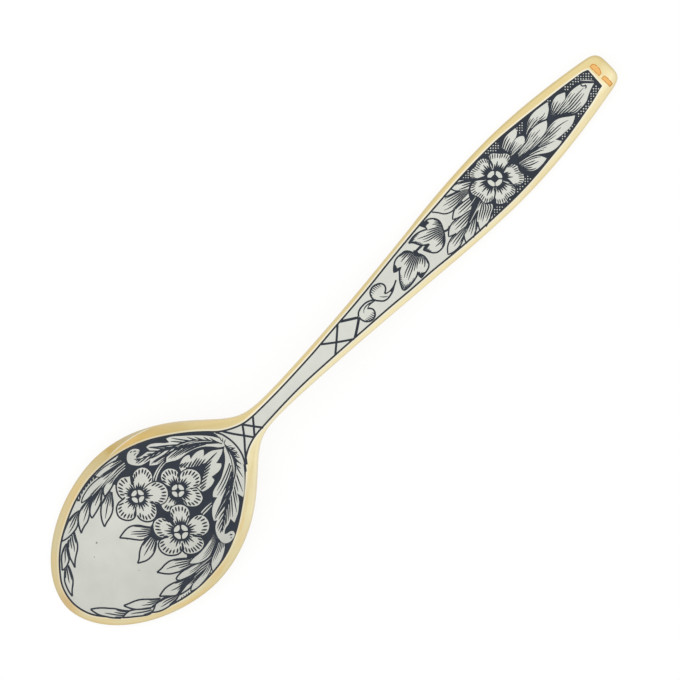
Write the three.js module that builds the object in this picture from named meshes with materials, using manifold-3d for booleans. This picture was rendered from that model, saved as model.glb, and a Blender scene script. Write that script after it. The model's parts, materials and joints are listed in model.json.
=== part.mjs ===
// A silver teaspoon whose back is inlaid with black niello, lying on its front.
// Millimetres, +X from the bowl's tip to the handle's end, +Z up, out of the spoon's back.
// The origin is under the middle of the spoon, on the surface that it lies on.
import * as THREE from 'three';
import { mergeVertices } from 'three/addons/utils/BufferGeometryUtils.js';
import Module from 'manifold-3d';

const wasm = await Module();
wasm.setup();
const { clamp, lerp, smoothstep } = THREE.MathUtils;

// Lengths along the spoon
const BOWL_FRONT = 22.2; // bowl tip to the bowl's widest section
const BOWL_HEEL = 26; // widest section to the neck
const NECK_LENGTH = 4; // parallel neck
const HANDLE_RISE = 60; // neck to the handle's widest section
const HANDLE_FALL = 25.8; // handle's widest section to its end
const END_ROUND = 3.2; // length over which the handle's end is rounded

// Widths
const BOWL_WIDTH = 31.4;
const NECK_WIDTH = 4.3;
const HANDLE_WIDTH = 12.2;
const END_WIDTH = 6.3; // where the handle's sides would meet its end

// Heights and thicknesses
const BOWL_HEIGHT = 7.6; // rim plane to the highest point of the back
const BOWL_WALL = 1.1;
const RIM_LAND = 1.4; // flat width of the rim
const RIM_EDGE = 0.45; // upright edge of the rim
const HEEL_SOLID = 5; // solid metal between the hollow and the neck
const NECK_THICKNESS = 2.9;
const HANDLE_THICKNESS = 1.7;
const END_THICKNESS = 1.5;
const HANDLE_EDGE = 0.85; // upright edge of the handle
const EDGE_CHAMFER = 0.2; // broken edge all round the front

// How the spoon lies: the bowl's tip and a flat pad on the handle's front touch the table
const NECK_LIFT = 3.4; // rim plane above the table, at the neck
const PAD_LENGTH = 14;
const PAD_SETBACK = 15; // pad to the handle's end
const END_LIFT = 1.2; // turned-up end

// Silver panel inside the gilt margin
const TIP_MARGIN = 1.2;
const SIDE_MARGIN = 1.85;
const STEM_MARGIN = 1;
const END_MARGIN = 1.87;
const PANEL_SETBACK = 3.4; // panel to the handle's end

// Niello
const NIELLO_DEPTH = 0.3;
const FIT_GAP = 0.05; // between a filling and its pocket
const SILVER_GAP = 0.25; // silver left between two fillings
const BORDER_WIDTH = 0.3;
const LINE_WIDTH = 0.34;

// Stamped recesses at the handle's end, left blank
const STAMP_LENGTH = 1;
const STAMP_WIDTH = 2.1;
const STAMP_DEPTH = 0.2;
const STAMP_SPACING = 2.9;
const STAMP_SETBACK = 2.2; // stamp's middle to the handle's end

// How each curve runs out, as the power and the root of fall() below
const BOWL_FRONT_CURVE = [1.7, 0.48];
const BOWL_HEEL_CURVE = [2.24, 1.56];
const PANEL_FRONT_CURVE = [1.75, 0.53];
const PANEL_HEEL_CURVE = [2.24, 2.29];
const BACK_FRONT_CURVE = [2.2, 1];
const BACK_HEEL_CURVE = [2, 1.5];
const HOLLOW_HEEL_CURVE = [2.6, 0.9];
const END_CURVE = [4, 0.25];
const BOWL_SECTION = [2.3, 1];
const HANDLE_SECTION = [7, 0.5];
const HANDLE_RISE_CURVE = [1.92, 0.815];
const HANDLE_FALL_POWER = 1.735;

// Places along the spoon
const LENGTH = BOWL_FRONT + BOWL_HEEL + NECK_LENGTH + HANDLE_RISE + HANDLE_FALL;
const X_TIP = -LENGTH / 2;
const X_WIDE = X_TIP + BOWL_FRONT;
const X_NECK = X_WIDE + BOWL_HEEL;
const X_RISE = X_NECK + NECK_LENGTH;
const X_FULL = X_RISE + HANDLE_RISE;
const X_END = X_FULL + HANDLE_FALL;
const X_ROUND = X_END - END_ROUND;
const X_PAD_END = X_END - PAD_SETBACK;
const X_PAD = X_PAD_END - PAD_LENGTH;
const X_PANEL_TIP = X_TIP + TIP_MARGIN;
const X_PANEL_END = X_END - PANEL_SETBACK;

// Above and below everything, for cutting right through
const CLEAR = BOWL_HEIGHT + NECK_LIFT;

// A curve from 1 at share 0 to 0 at share 1: power flattens its start, root rounds or draws out its end
function fall(share, [power, root]) {
  return (1 - clamp(share, 0, 1) ** power) ** root;
}

// Half the spoon's width, seen from above
function halfWidth(x) {
  const bowl = BOWL_WIDTH / 2;
  const neck = NECK_WIDTH / 2;
  const handle = HANDLE_WIDTH / 2;
  if (x < X_WIDE) return bowl * fall((X_WIDE - x) / BOWL_FRONT, BOWL_FRONT_CURVE);
  if (x < X_NECK) return lerp(neck, bowl, fall((x - X_WIDE) / BOWL_HEEL, BOWL_HEEL_CURVE));
  if (x < X_FULL) {
    const [power, root] = HANDLE_RISE_CURVE;
    const rise = clamp((x - X_RISE) / HANDLE_RISE, 0, 1);
    return lerp(neck, handle, Math.sin((Math.PI / 2) * rise ** power) ** root);
  }
  const taper = lerp(handle, END_WIDTH / 2, ((x - X_FULL) / HANDLE_FALL) ** HANDLE_FALL_POWER);
  return taper * fall((x - X_ROUND) / END_ROUND, END_CURVE);
}

// Height of the front face, or of the rim plane, above the table
function frontHeight(x) {
  const tilt = NECK_LIFT / (X_NECK - X_TIP);
  if (x < X_NECK) return tilt * (x - X_TIP);
  if (x < X_PAD) {
    const span = X_PAD - X_NECK;
    const t = (x - X_NECK) / span;
    return NECK_LIFT * (2 * t ** 3 - 3 * t ** 2 + 1) + tilt * span * (t ** 3 - 2 * t ** 2 + t);
  }
  return END_LIFT * Math.max(0, (x - X_PAD_END) / PAD_SETBACK) ** 2;
}

// 0 on the bowl, 1 on the handle, for what changes along the heel
function heelBlend(x) {
  return smoothstep(x, X_WIDE, X_NECK);
}

function edgeHeight(x) {
  return lerp(RIM_EDGE, HANDLE_EDGE, heelBlend(x));
}

// Thickness along the middle line, the bowl's hollow counted in
function thickness(x) {
  const edge = edgeHeight(x);
  if (x < X_WIDE) return lerp(edge, BOWL_HEIGHT, fall((X_WIDE - x) / BOWL_FRONT, BACK_FRONT_CURVE));
  if (x < X_NECK) return lerp(NECK_THICKNESS, BOWL_HEIGHT, fall((x - X_WIDE) / BOWL_HEEL, BACK_HEEL_CURVE));
  if (x < X_FULL) return lerp(NECK_THICKNESS, HANDLE_THICKNESS, smoothstep(x, X_RISE, X_FULL));
  const taper = lerp(HANDLE_THICKNESS, END_THICKNESS, (x - X_FULL) / HANDLE_FALL);
  return lerp(edge, taper, fall((x - X_ROUND) / END_ROUND, END_CURVE));
}

// Height of the back: a round bowl that runs out into a flat handle with rounded shoulders
function backHeight(x, across) {
  const edge = edgeHeight(x);
  const section = BOWL_SECTION.map((value, i) => lerp(value, HANDLE_SECTION[i], heelBlend(x)));
  return frontHeight(x) + edge + (thickness(x) - edge) * fall(Math.abs(across), section);
}

// Half the width of the silver panel
function panelHalf(x) {
  const bowl = BOWL_WIDTH / 2 - SIDE_MARGIN;
  const neck = NECK_WIDTH / 2 - STEM_MARGIN;
  if (x < X_WIDE) return bowl * fall((X_WIDE - x) / (BOWL_FRONT - TIP_MARGIN), PANEL_FRONT_CURVE);
  if (x < X_NECK) return lerp(neck, bowl, fall((x - X_WIDE) / BOWL_HEEL, PANEL_HEEL_CURVE));
  const widening = smoothstep(x, X_PAD - PAD_LENGTH, X_ROUND);
  return halfWidth(x) - lerp(STEM_MARGIN, END_MARGIN, widening);
}

// Evenly spread stations from one place to another, the last left out
function stations(from, to, count, spacing = (t) => t) {
  return Array.from({ length: count }, (_, i) => lerp(from, to, spacing(i / count)));
}

const closeAtStart = (t) => 1 - Math.cos((Math.PI / 2) * t);
const closeAtEnd = (t) => Math.sin((Math.PI / 2) * t);

const SPOON_STATIONS = [
  ...stations(X_TIP, X_WIDE, 6, closeAtStart),
  ...stations(X_WIDE, X_NECK, 6),
  ...stations(X_NECK, X_RISE, 1),
  ...stations(X_RISE, X_PAD, 5),
  ...stations(X_PAD, X_PAD_END, 2),
  ...stations(X_PAD_END, X_ROUND, 1),
  ...stations(X_ROUND, X_END, 4, closeAtEnd),
  X_END,
];

// Places across a section, from one edge to the other, closer together at the edges
const ACROSS_STEPS = 4;
const ACROSS = Array.from({ length: 2 * ACROSS_STEPS + 1 }, (_, i) =>
  Math.sin((Math.PI / 2) * (i / ACROSS_STEPS - 1)));

// A closed mesh as a solid that can be joined and cut
function solid(geometry) {
  const bare = new THREE.BufferGeometry();
  bare.setAttribute('position', geometry.getAttribute('position'));
  if (geometry.index) bare.setIndex(geometry.index);
  const merged = mergeVertices(bare, 1e-5);
  const corners = merged.index.array;
  const triVerts = [];
  for (let i = 0; i < corners.length; i += 3) {
    const [a, b, c] = corners.slice(i, i + 3);
    if (a !== b && b !== c && c !== a) triVerts.push(a, b, c);
  }
  return new wasm.Manifold(new wasm.Mesh({
    numProp: 3,
    vertProperties: new Float32Array(merged.getAttribute('position').array),
    triVerts: new Uint32Array(triVerts),
  }));
}

// A solid through a row of closed rings of points, whose first and last rings shrink to an upright line
function loft(rings) {
  const size = rings[0].length;
  const positions = rings.flat().flatMap((point) => point.toArray());
  const index = [];
  for (let ring = 0; ring + 1 < rings.length; ring += 1) {
    for (let i = 0; i < size; i += 1) {
      const a = ring * size + i;
      const b = ring * size + ((i + 1) % size);
      index.push(a, b, a + size, b, b + size, a + size);
    }
  }
  const geometry = new THREE.BufferGeometry();
  geometry.setAttribute('position', new THREE.Float32BufferAttribute(positions, 3));
  geometry.setIndex(index);
  return solid(geometry);
}

// The back's points across one station, raised by a height
function backPoints(x, raised) {
  return ACROSS.map((across) =>
    new THREE.Vector3(x, across * halfWidth(x), backHeight(x, across) + raised));
}

// The whole spoon before it is hollowed: rounded back, upright edges, flat front
function outerBody() {
  return loft(SPOON_STATIONS.map((x) => {
    const width = halfWidth(x);
    const flat = Math.max(0, width - EDGE_CHAMFER);
    const front = frontHeight(x);
    return [
      ...backPoints(x, 0),
      new THREE.Vector3(x, width, front + EDGE_CHAMFER),
      new THREE.Vector3(x, flat, front),
      new THREE.Vector3(x, -flat, front),
      new THREE.Vector3(x, -width, front + EDGE_CHAMFER),
    ].reverse();
  }));
}

// The bowl's hollow, carried on below the rim plane so that it cuts clean through
function hollow() {
  const half = BOWL_WIDTH / 2 - RIM_LAND;
  const front = BOWL_FRONT - RIM_LAND;
  const heel = BOWL_HEEL - HEEL_SOLID;
  const depth = BOWL_HEIGHT - BOWL_WALL;
  const places = [
    ...stations(X_WIDE - front, X_WIDE, 6, closeAtStart),
    ...stations(X_WIDE, X_WIDE + heel, 6, closeAtEnd),
    X_WIDE + heel,
  ];
  return loft(places.map((x) => {
    const ahead = x < X_WIDE;
    const share = ahead ? (X_WIDE - x) / front : (x - X_WIDE) / heel;
    const width = half * (ahead ? fall(share, BOWL_FRONT_CURVE) : fall(share, HOLLOW_HEEL_CURVE));
    const rise = depth * fall(share, BACK_FRONT_CURVE);
    const rim = frontHeight(x);
    const roof = ACROSS.map((across) =>
      new THREE.Vector3(x, across * width, rim + rise * fall(Math.abs(across), BOWL_SECTION)));
    const below = [width, -width].map((y) => new THREE.Vector3(x, y, rim - CLEAR));
    return [...roof, ...below].reverse();
  }));
}

// A layer that follows the back, from one height over it to a depth under it
function backLayer(above, below) {
  return loft(SPOON_STATIONS.map((x) =>
    [...backPoints(x, above), ...backPoints(x, -below).reverse()].reverse()));
}

// An outline drawn from above, as an upright solid through the whole spoon
function prism(outline) {
  const shape = new THREE.Shape(outline);
  const geometry = new THREE.ExtrudeGeometry(shape, { depth: 3 * CLEAR, bevelEnabled: false });
  geometry.translate(0, 0, -CLEAR);
  return solid(geometry);
}

function join(solids) {
  return solids.reduce((all, next) => all.add(next));
}

function quarterTurn(vector) {
  return new THREE.Vector2(-vector.y, vector.x);
}

// The sideways step, per millimetre of offset, at a corner between two edges
function cornerStep(before, point, after) {
  const normal = (from, to) => quarterTurn(to.clone().sub(from).normalize());
  const first = before ? normal(before, point) : normal(point, after);
  const second = after ? normal(point, after) : normal(before, point);
  const sum = first.add(second);
  return sum.multiplyScalar(2 / Math.max(sum.lengthSq(), 1));
}

// A closed outline, counter-clockwise, moved out by a distance
function offset(outline, distance) {
  const count = outline.length;
  return outline.map((point, i) => {
    const step = cornerStep(outline[(i + count - 1) % count], point, outline[(i + 1) % count]);
    return point.clone().addScaledVector(step, -distance);
  });
}

function counterClockwise(outline) {
  return THREE.ShapeUtils.isClockWise(outline) ? outline.slice().reverse() : outline;
}

// A filled area
function plate(outline, grow) {
  return prism(offset(counterClockwise(outline), grow));
}

// A line along an open path, with square ends
function stroke(path, grow, width = LINE_WIDTH) {
  const half = width / 2 + grow;
  const last = path.length - 1;
  const ends = path.map((point) => point.clone());
  ends[0].add(path[0].clone().sub(path[1]).setLength(half));
  ends[last].add(path[last].clone().sub(path[last - 1]).setLength(half));
  const steps = ends.map((point, i) => cornerStep(ends[i - 1], point, ends[i + 1]));
  const left = ends.map((point, i) => point.clone().addScaledVector(steps[i], half));
  const right = ends.map((point, i) => point.clone().addScaledVector(steps[i], -half));
  return prism([...left, ...right.reverse()]);
}

// A line along a closed outline
function loop(outline, grow, width = LINE_WIDTH) {
  const half = width / 2 + grow;
  return plate(outline, half).subtract(plate(outline, -half));
}

// Places on the panel, in hundredths: along the bowl from its widest section, towards the tip below
// zero and towards the neck above it, or along the handle from the neck, and across to the panel's edge
function onBowl([along, across]) {
  const span = along < 0 ? X_WIDE - X_PANEL_TIP : BOWL_HEEL;
  const x = X_WIDE + (along / 100) * span;
  return new THREE.Vector2(x, (across / 100) * panelHalf(x));
}

function onHandle([along, across]) {
  const x = lerp(X_NECK, X_PANEL_END, along / 100);
  return new THREE.Vector2(x, (across / 100) * panelHalf(x));
}

function smooth(points, perSpan = 2) {
  return new THREE.SplineCurve(points).getPoints((points.length - 1) * perSpan);
}

// A leaf from its base to its tip, as full as a share of its length
function leafOutline(base, tip, fullness = 0.36) {
  const middle = base.clone().lerp(tip, 0.45);
  const side = quarterTurn(tip.clone().sub(base)).multiplyScalar(fullness);
  const left = new THREE.QuadraticBezierCurve(base, middle.clone().add(side), tip).getPoints(3);
  const right = new THREE.QuadraticBezierCurve(tip, middle.clone().sub(side), base).getPoints(3);
  return [...left.slice(0, -1), ...right.slice(0, -1)];
}

function circle(centre, radius, count) {
  return Array.from({ length: count }, (_, i) => {
    const angle = (2 * Math.PI * i) / count;
    return new THREE.Vector2(Math.cos(angle), Math.sin(angle)).multiplyScalar(radius).add(centre);
  });
}

// The border all round the panel, from the neck round the handle's end and back round the bowl
function borderOutline() {
  const side = [
    ...stations(X_PANEL_TIP, X_WIDE, 6, closeAtStart),
    ...stations(X_WIDE, X_NECK, 6),
    ...stations(X_NECK, X_PANEL_END, 5),
    X_PANEL_END,
  ];
  const upper = side.map((x) => new THREE.Vector2(x, panelHalf(x)));
  const lower = side.slice(1).reverse().map((x) => new THREE.Vector2(x, -panelHalf(x)));
  return [...upper, ...lower];
}

// A flower's petals, and its eye and the notches between petals as shares of its reach
const PETALS = 5;
const EYE_SHARE = 0.28;
const NOTCH_SHARE = 0.76;

// A five-petalled flower: its scalloped outline, the lines between its petals and its round eye
function flower(centre, reach, turn) {
  const spoke = (degrees, radius) => {
    const angle = THREE.MathUtils.degToRad(turn + degrees);
    return new THREE.Vector2(Math.cos(angle), Math.sin(angle)).multiplyScalar(radius).add(centre);
  };
  const pitch = 360 / PETALS;
  const outline = [];
  const creases = [];
  for (let petal = 0; petal < PETALS; petal += 1) {
    const middle = petal * pitch;
    outline.push(spoke(middle - pitch / 2, NOTCH_SHARE * reach));
    outline.push(spoke(middle - pitch / 5, reach));
    outline.push(spoke(middle + pitch / 5, reach));
    creases.push([EYE_SHARE, NOTCH_SHARE].map((share) => spoke(middle + pitch / 2, share * reach)));
  }
  const eye = circle(centre, EYE_SHARE * reach, 6);
  return {
    area: (grow) => plate(outline, grow),
    lines: (grow) => join([
      loop(outline, grow),
      loop(eye, grow),
      ...creases.map((crease) => stroke(crease, grow)),
    ]),
  };
}

// The flowers' reach and the tendril's balls, as shares of the panel's half width there
const BOWL_FLOWER_SHARE = 0.325;
const HANDLE_FLOWER_SHARE = 0.86;
const LOWER_BALL_SHARE = 0.46;
const UPPER_BALL_SHARE = 0.34;

const bowlReach = BOWL_FLOWER_SHARE * panelHalf(X_WIDE);
const flowerOne = flower(onBowl([4, 38]), bowlReach, -32);
const flowerTwo = flower(onBowl([27, 7]), bowlReach, 0);
const flowerThree = flower(onBowl([8, -33]), bowlReach, 50);

// The leaf beyond the flowers, and the two arms that run from the heel along the border
const centreLeaf = [
  [49, 31], [51, 44], [53, 36], [58, 40], [58, 24], [65, 13],
  [59, -4], [59, -18], [53, -15], [49, -26], [48, 4],
].map(onBowl);
const upperArm = [
  [69, 50], [62, 72], [52, 63], [42, 58], [35, 60], [40, 69], [26, 66], [32, 75], [22, 76],
  [17, 83], [18, 91], [22, 96], [26, 98], [30, 106], [40, 110], [53, 115], [65, 112],
].map(onBowl);
const lowerArm = [
  [69, -40], [63, -52], [52, -44], [41, -44], [46, -58], [33, -60], [33, -71], [26, -77],
  [23, -84], [25, -94], [29, -98], [33, -106], [38, -110], [49, -115], [61, -112], [68, -100],
].map(onBowl);
const groundField = [
  [12, 94], [22, 94], [34, 94], [45, 93], [57, 92], [65, 90], [69, 76], [71, 38], [71, -13], [69, -60],
  [66, -88], [57, -93], [45, -94], [34, -94], [24, -93], [20, -84], [19, -66], [8, -33], [27, 7], [4, 38],
  [5, 68], [12, 79],
].map(onBowl);

// A branch with leaves: a stem, and outlined leaves that spring from it
function branch(stem, leaves) {
  return (grow) => join([
    stroke(smooth(stem), grow),
    ...leaves.map(([base, tip]) => loop(leafOutline(onBowl(base), onBowl(tip)), grow)),
  ]);
}

// One curved line, lines that spread from one base, and lines that cross as a lattice
function curve(points) {
  return (grow) => stroke(smooth(points), grow);
}

function fan(base, tips) {
  return (grow) => join(tips.map((tip) => stroke([base, tip], grow)));
}

function lattice(zigzag) {
  const mirrored = zigzag.map((point) => new THREE.Vector2(point.x, -point.y));
  return (grow) => stroke(zigzag, grow).add(stroke(mirrored, grow));
}

// A scroll of two balls joined by a tail
function tendril(grow) {
  const lower = onHandle([31.7, -28]);
  const upper = onHandle([36.6, 32]);
  return join([
    loop(circle(lower, LOWER_BALL_SHARE * panelHalf(lower.x), 8), grow),
    loop(circle(upper, UPPER_BALL_SHARE * panelHalf(upper.x), 8), grow),
    stroke(smooth([[32, 16], [33.6, 20], [35.4, 12]].map(onHandle)), grow),
    stroke(smooth([[35.6, 6], [37, -36], [38.8, -34], [40, -12]].map(onHandle)), grow),
  ]);
}

// An ivy leaf: its outline, and its middle vein
function ivy(outline, vein) {
  return (grow) => loop(outline.map(onHandle), grow).add(stroke(vein.map(onHandle), grow));
}

const handleEye = onHandle([70.3, 0]);
const handleFlower = flower(handleEye, HANDLE_FLOWER_SHARE * panelHalf(handleEye.x), 35);

const endLeafOutline = [
  [89, 4], [90.5, 56], [91.8, 64], [93, 46], [95.6, 42], [97.8, 0], [95.6, -42], [92.4, -42],
].map(onHandle);

// The dark ground round the leaf at the handle's end
const endGroundOutline = [
  [91.8, 88], [96, 84], [99, 80], [99, -80], [96, -84], [91, -88], [86.5, -88],
  [88, -74], [92, -68], [95.6, -68], [98.2, -34], [98.2, 34], [96, 68], [93.5, 72],
].map(onHandle);

// Each filling: the area or lines that it takes, and what lies in front of it
const FILLINGS = {
  bowl_ornament: {
    border_line: (grow) => loop(borderOutline(), grow, BORDER_WIDTH),
    bowl_flower_upper: flowerOne.lines,
    bowl_flower_lower: flowerThree.lines,
    bowl_flower_middle: (grow) => flowerTwo.lines(grow)
      .subtract(flowerOne.area(LINE_WIDTH / 2 + SILVER_GAP - grow))
      .subtract(flowerThree.area(LINE_WIDTH / 2 + SILVER_GAP - grow)),
    bowl_ground: (grow) => [flowerOne, flowerTwo, flowerThree]
      .map((motif) => motif.area(LINE_WIDTH / 2 + SILVER_GAP - grow))
      .concat([centreLeaf, upperArm, lowerArm].map((outline) => plate(outline, -grow)))
      .reduce((ground, front) => ground.subtract(front), plate(groundField, grow)),
    bowl_leaf_veins: fan(onBowl([50, 9]), [[52, 30], [61, 12], [53, -9]].map(onBowl)),
    bowl_arm_vein_upper: curve([[63, 82], [51, 80], [37, 79], [25, 83]].map(onBowl)),
    bowl_arm_vein_lower: curve([[63, -76], [52, -72], [39, -78], [29, -87]].map(onBowl)),
    bowl_spray_upper: branch(
      [[7, 82], [-15, 83], [-38, 82], [-56, 77], [-77, 64]].map(onBowl),
      [[[-12, 83], [-33, 46]], [[-33, 82], [-51, 62]], [[-56, 77], [-75, 46]], [[-77, 64], [-91, 22]]],
    ),
    bowl_spray_lower: branch(
      [[12, -83], [-13, -84], [-44, -83], [-70, -76]].map(onBowl),
      [[[-4, -84], [-29, -52]], [[-44, -83], [-69, -60]], [[-70, -76], [-89, -44]]],
    ),
    bowl_leaf_pair: (grow) => join([
      loop(leafOutline(onBowl([-12, -6]), onBowl([-31, 19])), grow),
      loop(leafOutline(onBowl([-12, -6]), onBowl([-35, -24])), grow),
    ]),
    heel_arc: curve([[69, 82], [74, 58], [76.5, 0], [74, -58], [69, -82]].map(onBowl)),
  },
  handle_ornament: {
    neck_lattice: lattice([[80, 58], [89, -52], [98, 44]].map(onBowl)),
    stem_lattice: lattice([[20.5, 62], [26, -68], [30, 4]].map(onHandle)),
    tendril_scroll: tendril,
    ivy_leaf_lower: ivy(
      [[41.2, -74], [41.6, -34], [43, 18], [42.2, 42], [43.6, 66], [45.2, 68], [47, 44], [47.6, 5], [48, -32],
        [47, -63], [45.4, -74], [44.6, -60], [43, -76]],
      [[47.6, 5], [42.6, -44]],
    ),
    ivy_leaf_upper: ivy(
      [[49.4, 74], [50.2, 40], [50, 12], [50.6, -24], [52, -39], [53.6, -29], [55, -2], [55.4, 32], [55, 61],
        [53.6, 74], [52.4, 64], [51, 76]],
      [[55, -2], [51, 50]],
    ),
    handle_flower_lines: handleFlower.lines,
    handle_leaf_lower: fan(
      onHandle([63.6, 0]),
      [[58.5, 68], [58.4, 4], [55.6, -56], [60.4, -72]].map(onHandle),
    ),
    handle_leaf_upper: fan(
      onHandle([76.8, 0]),
      [[80, 66], [85.8, 58], [85.8, 8], [88, -42], [84.5, -68], [80, -72]].map(onHandle),
    ),
    handle_end_leaf: (grow) => loop(endLeafOutline, grow),
    handle_end_ground: (grow) => plate(endGroundOutline, grow),
  },
};

// Two blank recesses beside each other at the handle's end
function stampRecesses() {
  const x = X_END - STAMP_SETBACK;
  return [STAMP_SPACING / 2, -STAMP_SPACING / 2].map((y) => prism([
    new THREE.Vector2(x - STAMP_LENGTH / 2, y - STAMP_WIDTH / 2),
    new THREE.Vector2(x + STAMP_LENGTH / 2, y - STAMP_WIDTH / 2),
    new THREE.Vector2(x + STAMP_LENGTH / 2, y + STAMP_WIDTH / 2),
    new THREE.Vector2(x - STAMP_LENGTH / 2, y + STAMP_WIDTH / 2),
  ]));
}

function mesh(name, body, material) {
  const { vertProperties, triVerts } = body.getMesh();
  const geometry = new THREE.BufferGeometry();
  geometry.setAttribute('position', new THREE.Float32BufferAttribute(vertProperties, 3));
  geometry.setIndex([...triVerts]);
  geometry.computeVertexNormals();
  const piece = new THREE.Mesh(geometry, material);
  piece.name = name;
  return piece;
}

const gilt = new THREE.MeshStandardMaterial({ color: 0xe3c27e, roughness: 0.3, metalness: 1 });
const niello = new THREE.MeshStandardMaterial({ color: 0x2e343d, roughness: 0.38, metalness: 0.5 });

const nielloLayer = backLayer(0, NIELLO_DEPTH);
const pocketLayer = backLayer(RIM_EDGE, NIELLO_DEPTH + FIT_GAP);
const stampLayer = backLayer(RIM_EDGE, STAMP_DEPTH);

const spoon = new THREE.Group();
spoon.name = 'spoon';
const pockets = [];
for (const [region, fillings] of Object.entries(FILLINGS)) {
  const group = new THREE.Group();
  group.name = region;
  for (const [name, shape] of Object.entries(fillings)) {
    group.add(mesh(name, shape(0).intersect(nielloLayer), niello));
    pockets.push(shape(FIT_GAP).intersect(pocketLayer));
  }
  spoon.add(group);
}
const stamps = stampRecesses().map((recess) => recess.intersect(stampLayer));
const blank = join(pockets.concat(stamps)).add(hollow());
spoon.add(mesh('spoon_blank', outerBody().subtract(blank), gilt));

export default spoon;
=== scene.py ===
# %% [markdown]
# # A gilt teaspoon with black niello ornament
# The spoon lies on its front, so the decorated back looks up at us. On the real object it is one forged
# silver blank. The ornament is engraved into it, the cuts are filled with black niello, and everything
# is polished flush. We load the CAD model first: it fixes the size and place of all that follows.

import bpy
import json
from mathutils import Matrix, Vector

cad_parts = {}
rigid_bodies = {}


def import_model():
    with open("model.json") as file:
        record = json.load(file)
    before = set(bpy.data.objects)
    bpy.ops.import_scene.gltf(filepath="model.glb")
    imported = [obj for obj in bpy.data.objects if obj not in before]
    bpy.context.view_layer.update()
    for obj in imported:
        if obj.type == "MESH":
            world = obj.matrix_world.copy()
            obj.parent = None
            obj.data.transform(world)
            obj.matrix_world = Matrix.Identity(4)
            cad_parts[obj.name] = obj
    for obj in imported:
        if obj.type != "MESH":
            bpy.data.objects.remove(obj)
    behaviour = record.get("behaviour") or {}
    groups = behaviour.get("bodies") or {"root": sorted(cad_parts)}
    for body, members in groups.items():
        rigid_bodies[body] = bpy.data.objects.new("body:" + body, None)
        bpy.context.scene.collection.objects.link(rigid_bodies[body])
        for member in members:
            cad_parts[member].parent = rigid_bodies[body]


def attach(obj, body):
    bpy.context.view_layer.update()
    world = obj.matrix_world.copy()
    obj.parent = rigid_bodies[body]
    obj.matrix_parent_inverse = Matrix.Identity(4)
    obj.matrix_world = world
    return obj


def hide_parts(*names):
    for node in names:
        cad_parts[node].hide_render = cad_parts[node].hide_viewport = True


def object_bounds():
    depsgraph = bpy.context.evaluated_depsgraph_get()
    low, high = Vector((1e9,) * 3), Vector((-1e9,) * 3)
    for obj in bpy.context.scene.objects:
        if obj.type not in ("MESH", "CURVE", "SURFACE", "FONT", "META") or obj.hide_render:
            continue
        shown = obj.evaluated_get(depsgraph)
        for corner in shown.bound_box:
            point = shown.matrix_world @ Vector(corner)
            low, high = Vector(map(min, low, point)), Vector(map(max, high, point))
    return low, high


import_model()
cad_box = [list(corner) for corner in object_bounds()]

import json
import math

import bpy
import numpy as np
from mathutils.geometry import delaunay_2d_cdt

MILLIMETRE = 0.001
print("CAD box in mm:", [[round(v / MILLIMETRE, 2) for v in corner] for corner in cad_box])

# %% [markdown]
# ## The form of the blank
# A spoon could be sculpted or lofted, but its form is simple when seen from above: at each place along
# its length it has a half width, a height of its front face and a thickness. We write these three as
# functions of the length, in millimetres, and every later step asks them for heights and slopes.
# That keeps the metal and the inlay on one surface.

# %% Stations along the spoon
TIP = -69.0
WIDEST = -46.8
NECK = -20.8
RISE = -16.8
PAD = 40.0
FULL = 43.2
PAD_END = 54.0
ROUND = 65.8
END = 69.0
BOWL_HALF = 15.7
HANDLE_HALF = 6.1
END_HALF = 3.15


def fall(share, powers):
    """Goes from 1 at the middle to 0 at the edge, full or slack as the two powers say."""
    return (1 - np.clip(share, 0, 1) ** powers[0]) ** powers[1]


def lerp(start, end, share):
    return start + (end - start) * share


def ease(low, high, value):
    """Goes smoothly from 0 at low to 1 at high."""
    share = np.clip((value - low) / (high - low), 0, 1)
    return share * share * (3 - 2 * share)


def smooth(ask, places, values):
    """A smooth curve through the values at the given places, read at the places that are asked for."""
    places = np.asarray(places, float)
    values = np.asarray(values, float)
    slopes = np.gradient(values, places, axis=0, edge_order=2 if len(places) > 2 else 1)
    left = np.clip(np.searchsorted(places, ask, side="right") - 1, 0, len(places) - 2)
    spread = (-1,) + (1,) * (values.ndim - 1)
    gap = (places[left + 1] - places[left]).reshape(spread)
    t = ((ask - places[left]).reshape(spread)) / gap
    from_left = values[left] * (1 + 2 * t) * (1 - t) ** 2 + slopes[left] * gap * t * (1 - t) ** 2
    from_right = values[left + 1] * t * t * (3 - 2 * t) + slopes[left + 1] * gap * t * t * (t - 1)
    return from_left + from_right


print("spoon:", END - TIP, "mm long")

# %% Half width and lean
BOWL_POWERS = (1.8, 0.53)
END_POWERS = (4, 0.25)
TAPER_POWER = 1.735
WIDTH_KNOTS = [
    (-46.8, 15.7), (-42, 15.15), (-38, 13.9), (-34, 11.85), (-31, 9.75), (-29, 8.05), (-27, 6.25),
    (-25, 4.5), (-23, 3.15), (-21, 2.45), (-19, 2.2), (-15, 2.15), (-10, 2.35), (0, 2.95), (10, 3.75),
    (20, 4.65), (30, 5.6), (35, 5.9), (40, 6.1), (43.2, 6.1),
]
LEAN_KNOTS = [
    (-69, 0.1), (-62, 0.05), (-50, 0), (-40, 0), (-34, -0.1), (-21, -0.2), (20, -0.2), (30, -0.05),
    (38, 0), (50, 0.12), (69, 0.2),
]


def end_round(x):
    """Goes from 1 to 0 over the rounded end of the handle."""
    return fall((x - ROUND) / (END - ROUND), END_POWERS)


def half_width(x):
    x = np.asarray(x, float)
    bowl = BOWL_HALF * fall((WIDEST - x) / (WIDEST - TIP), BOWL_POWERS)
    stem = smooth(np.clip(x, WIDEST, FULL).ravel(), *zip(*WIDTH_KNOTS)).reshape(x.shape)
    taper = lerp(HANDLE_HALF, END_HALF, np.clip((x - FULL) / (END - FULL), 0, 1) ** TAPER_POWER)
    handle = taper * end_round(x)
    return np.where(x < WIDEST, bowl, np.where(x < FULL, stem, handle))


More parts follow.
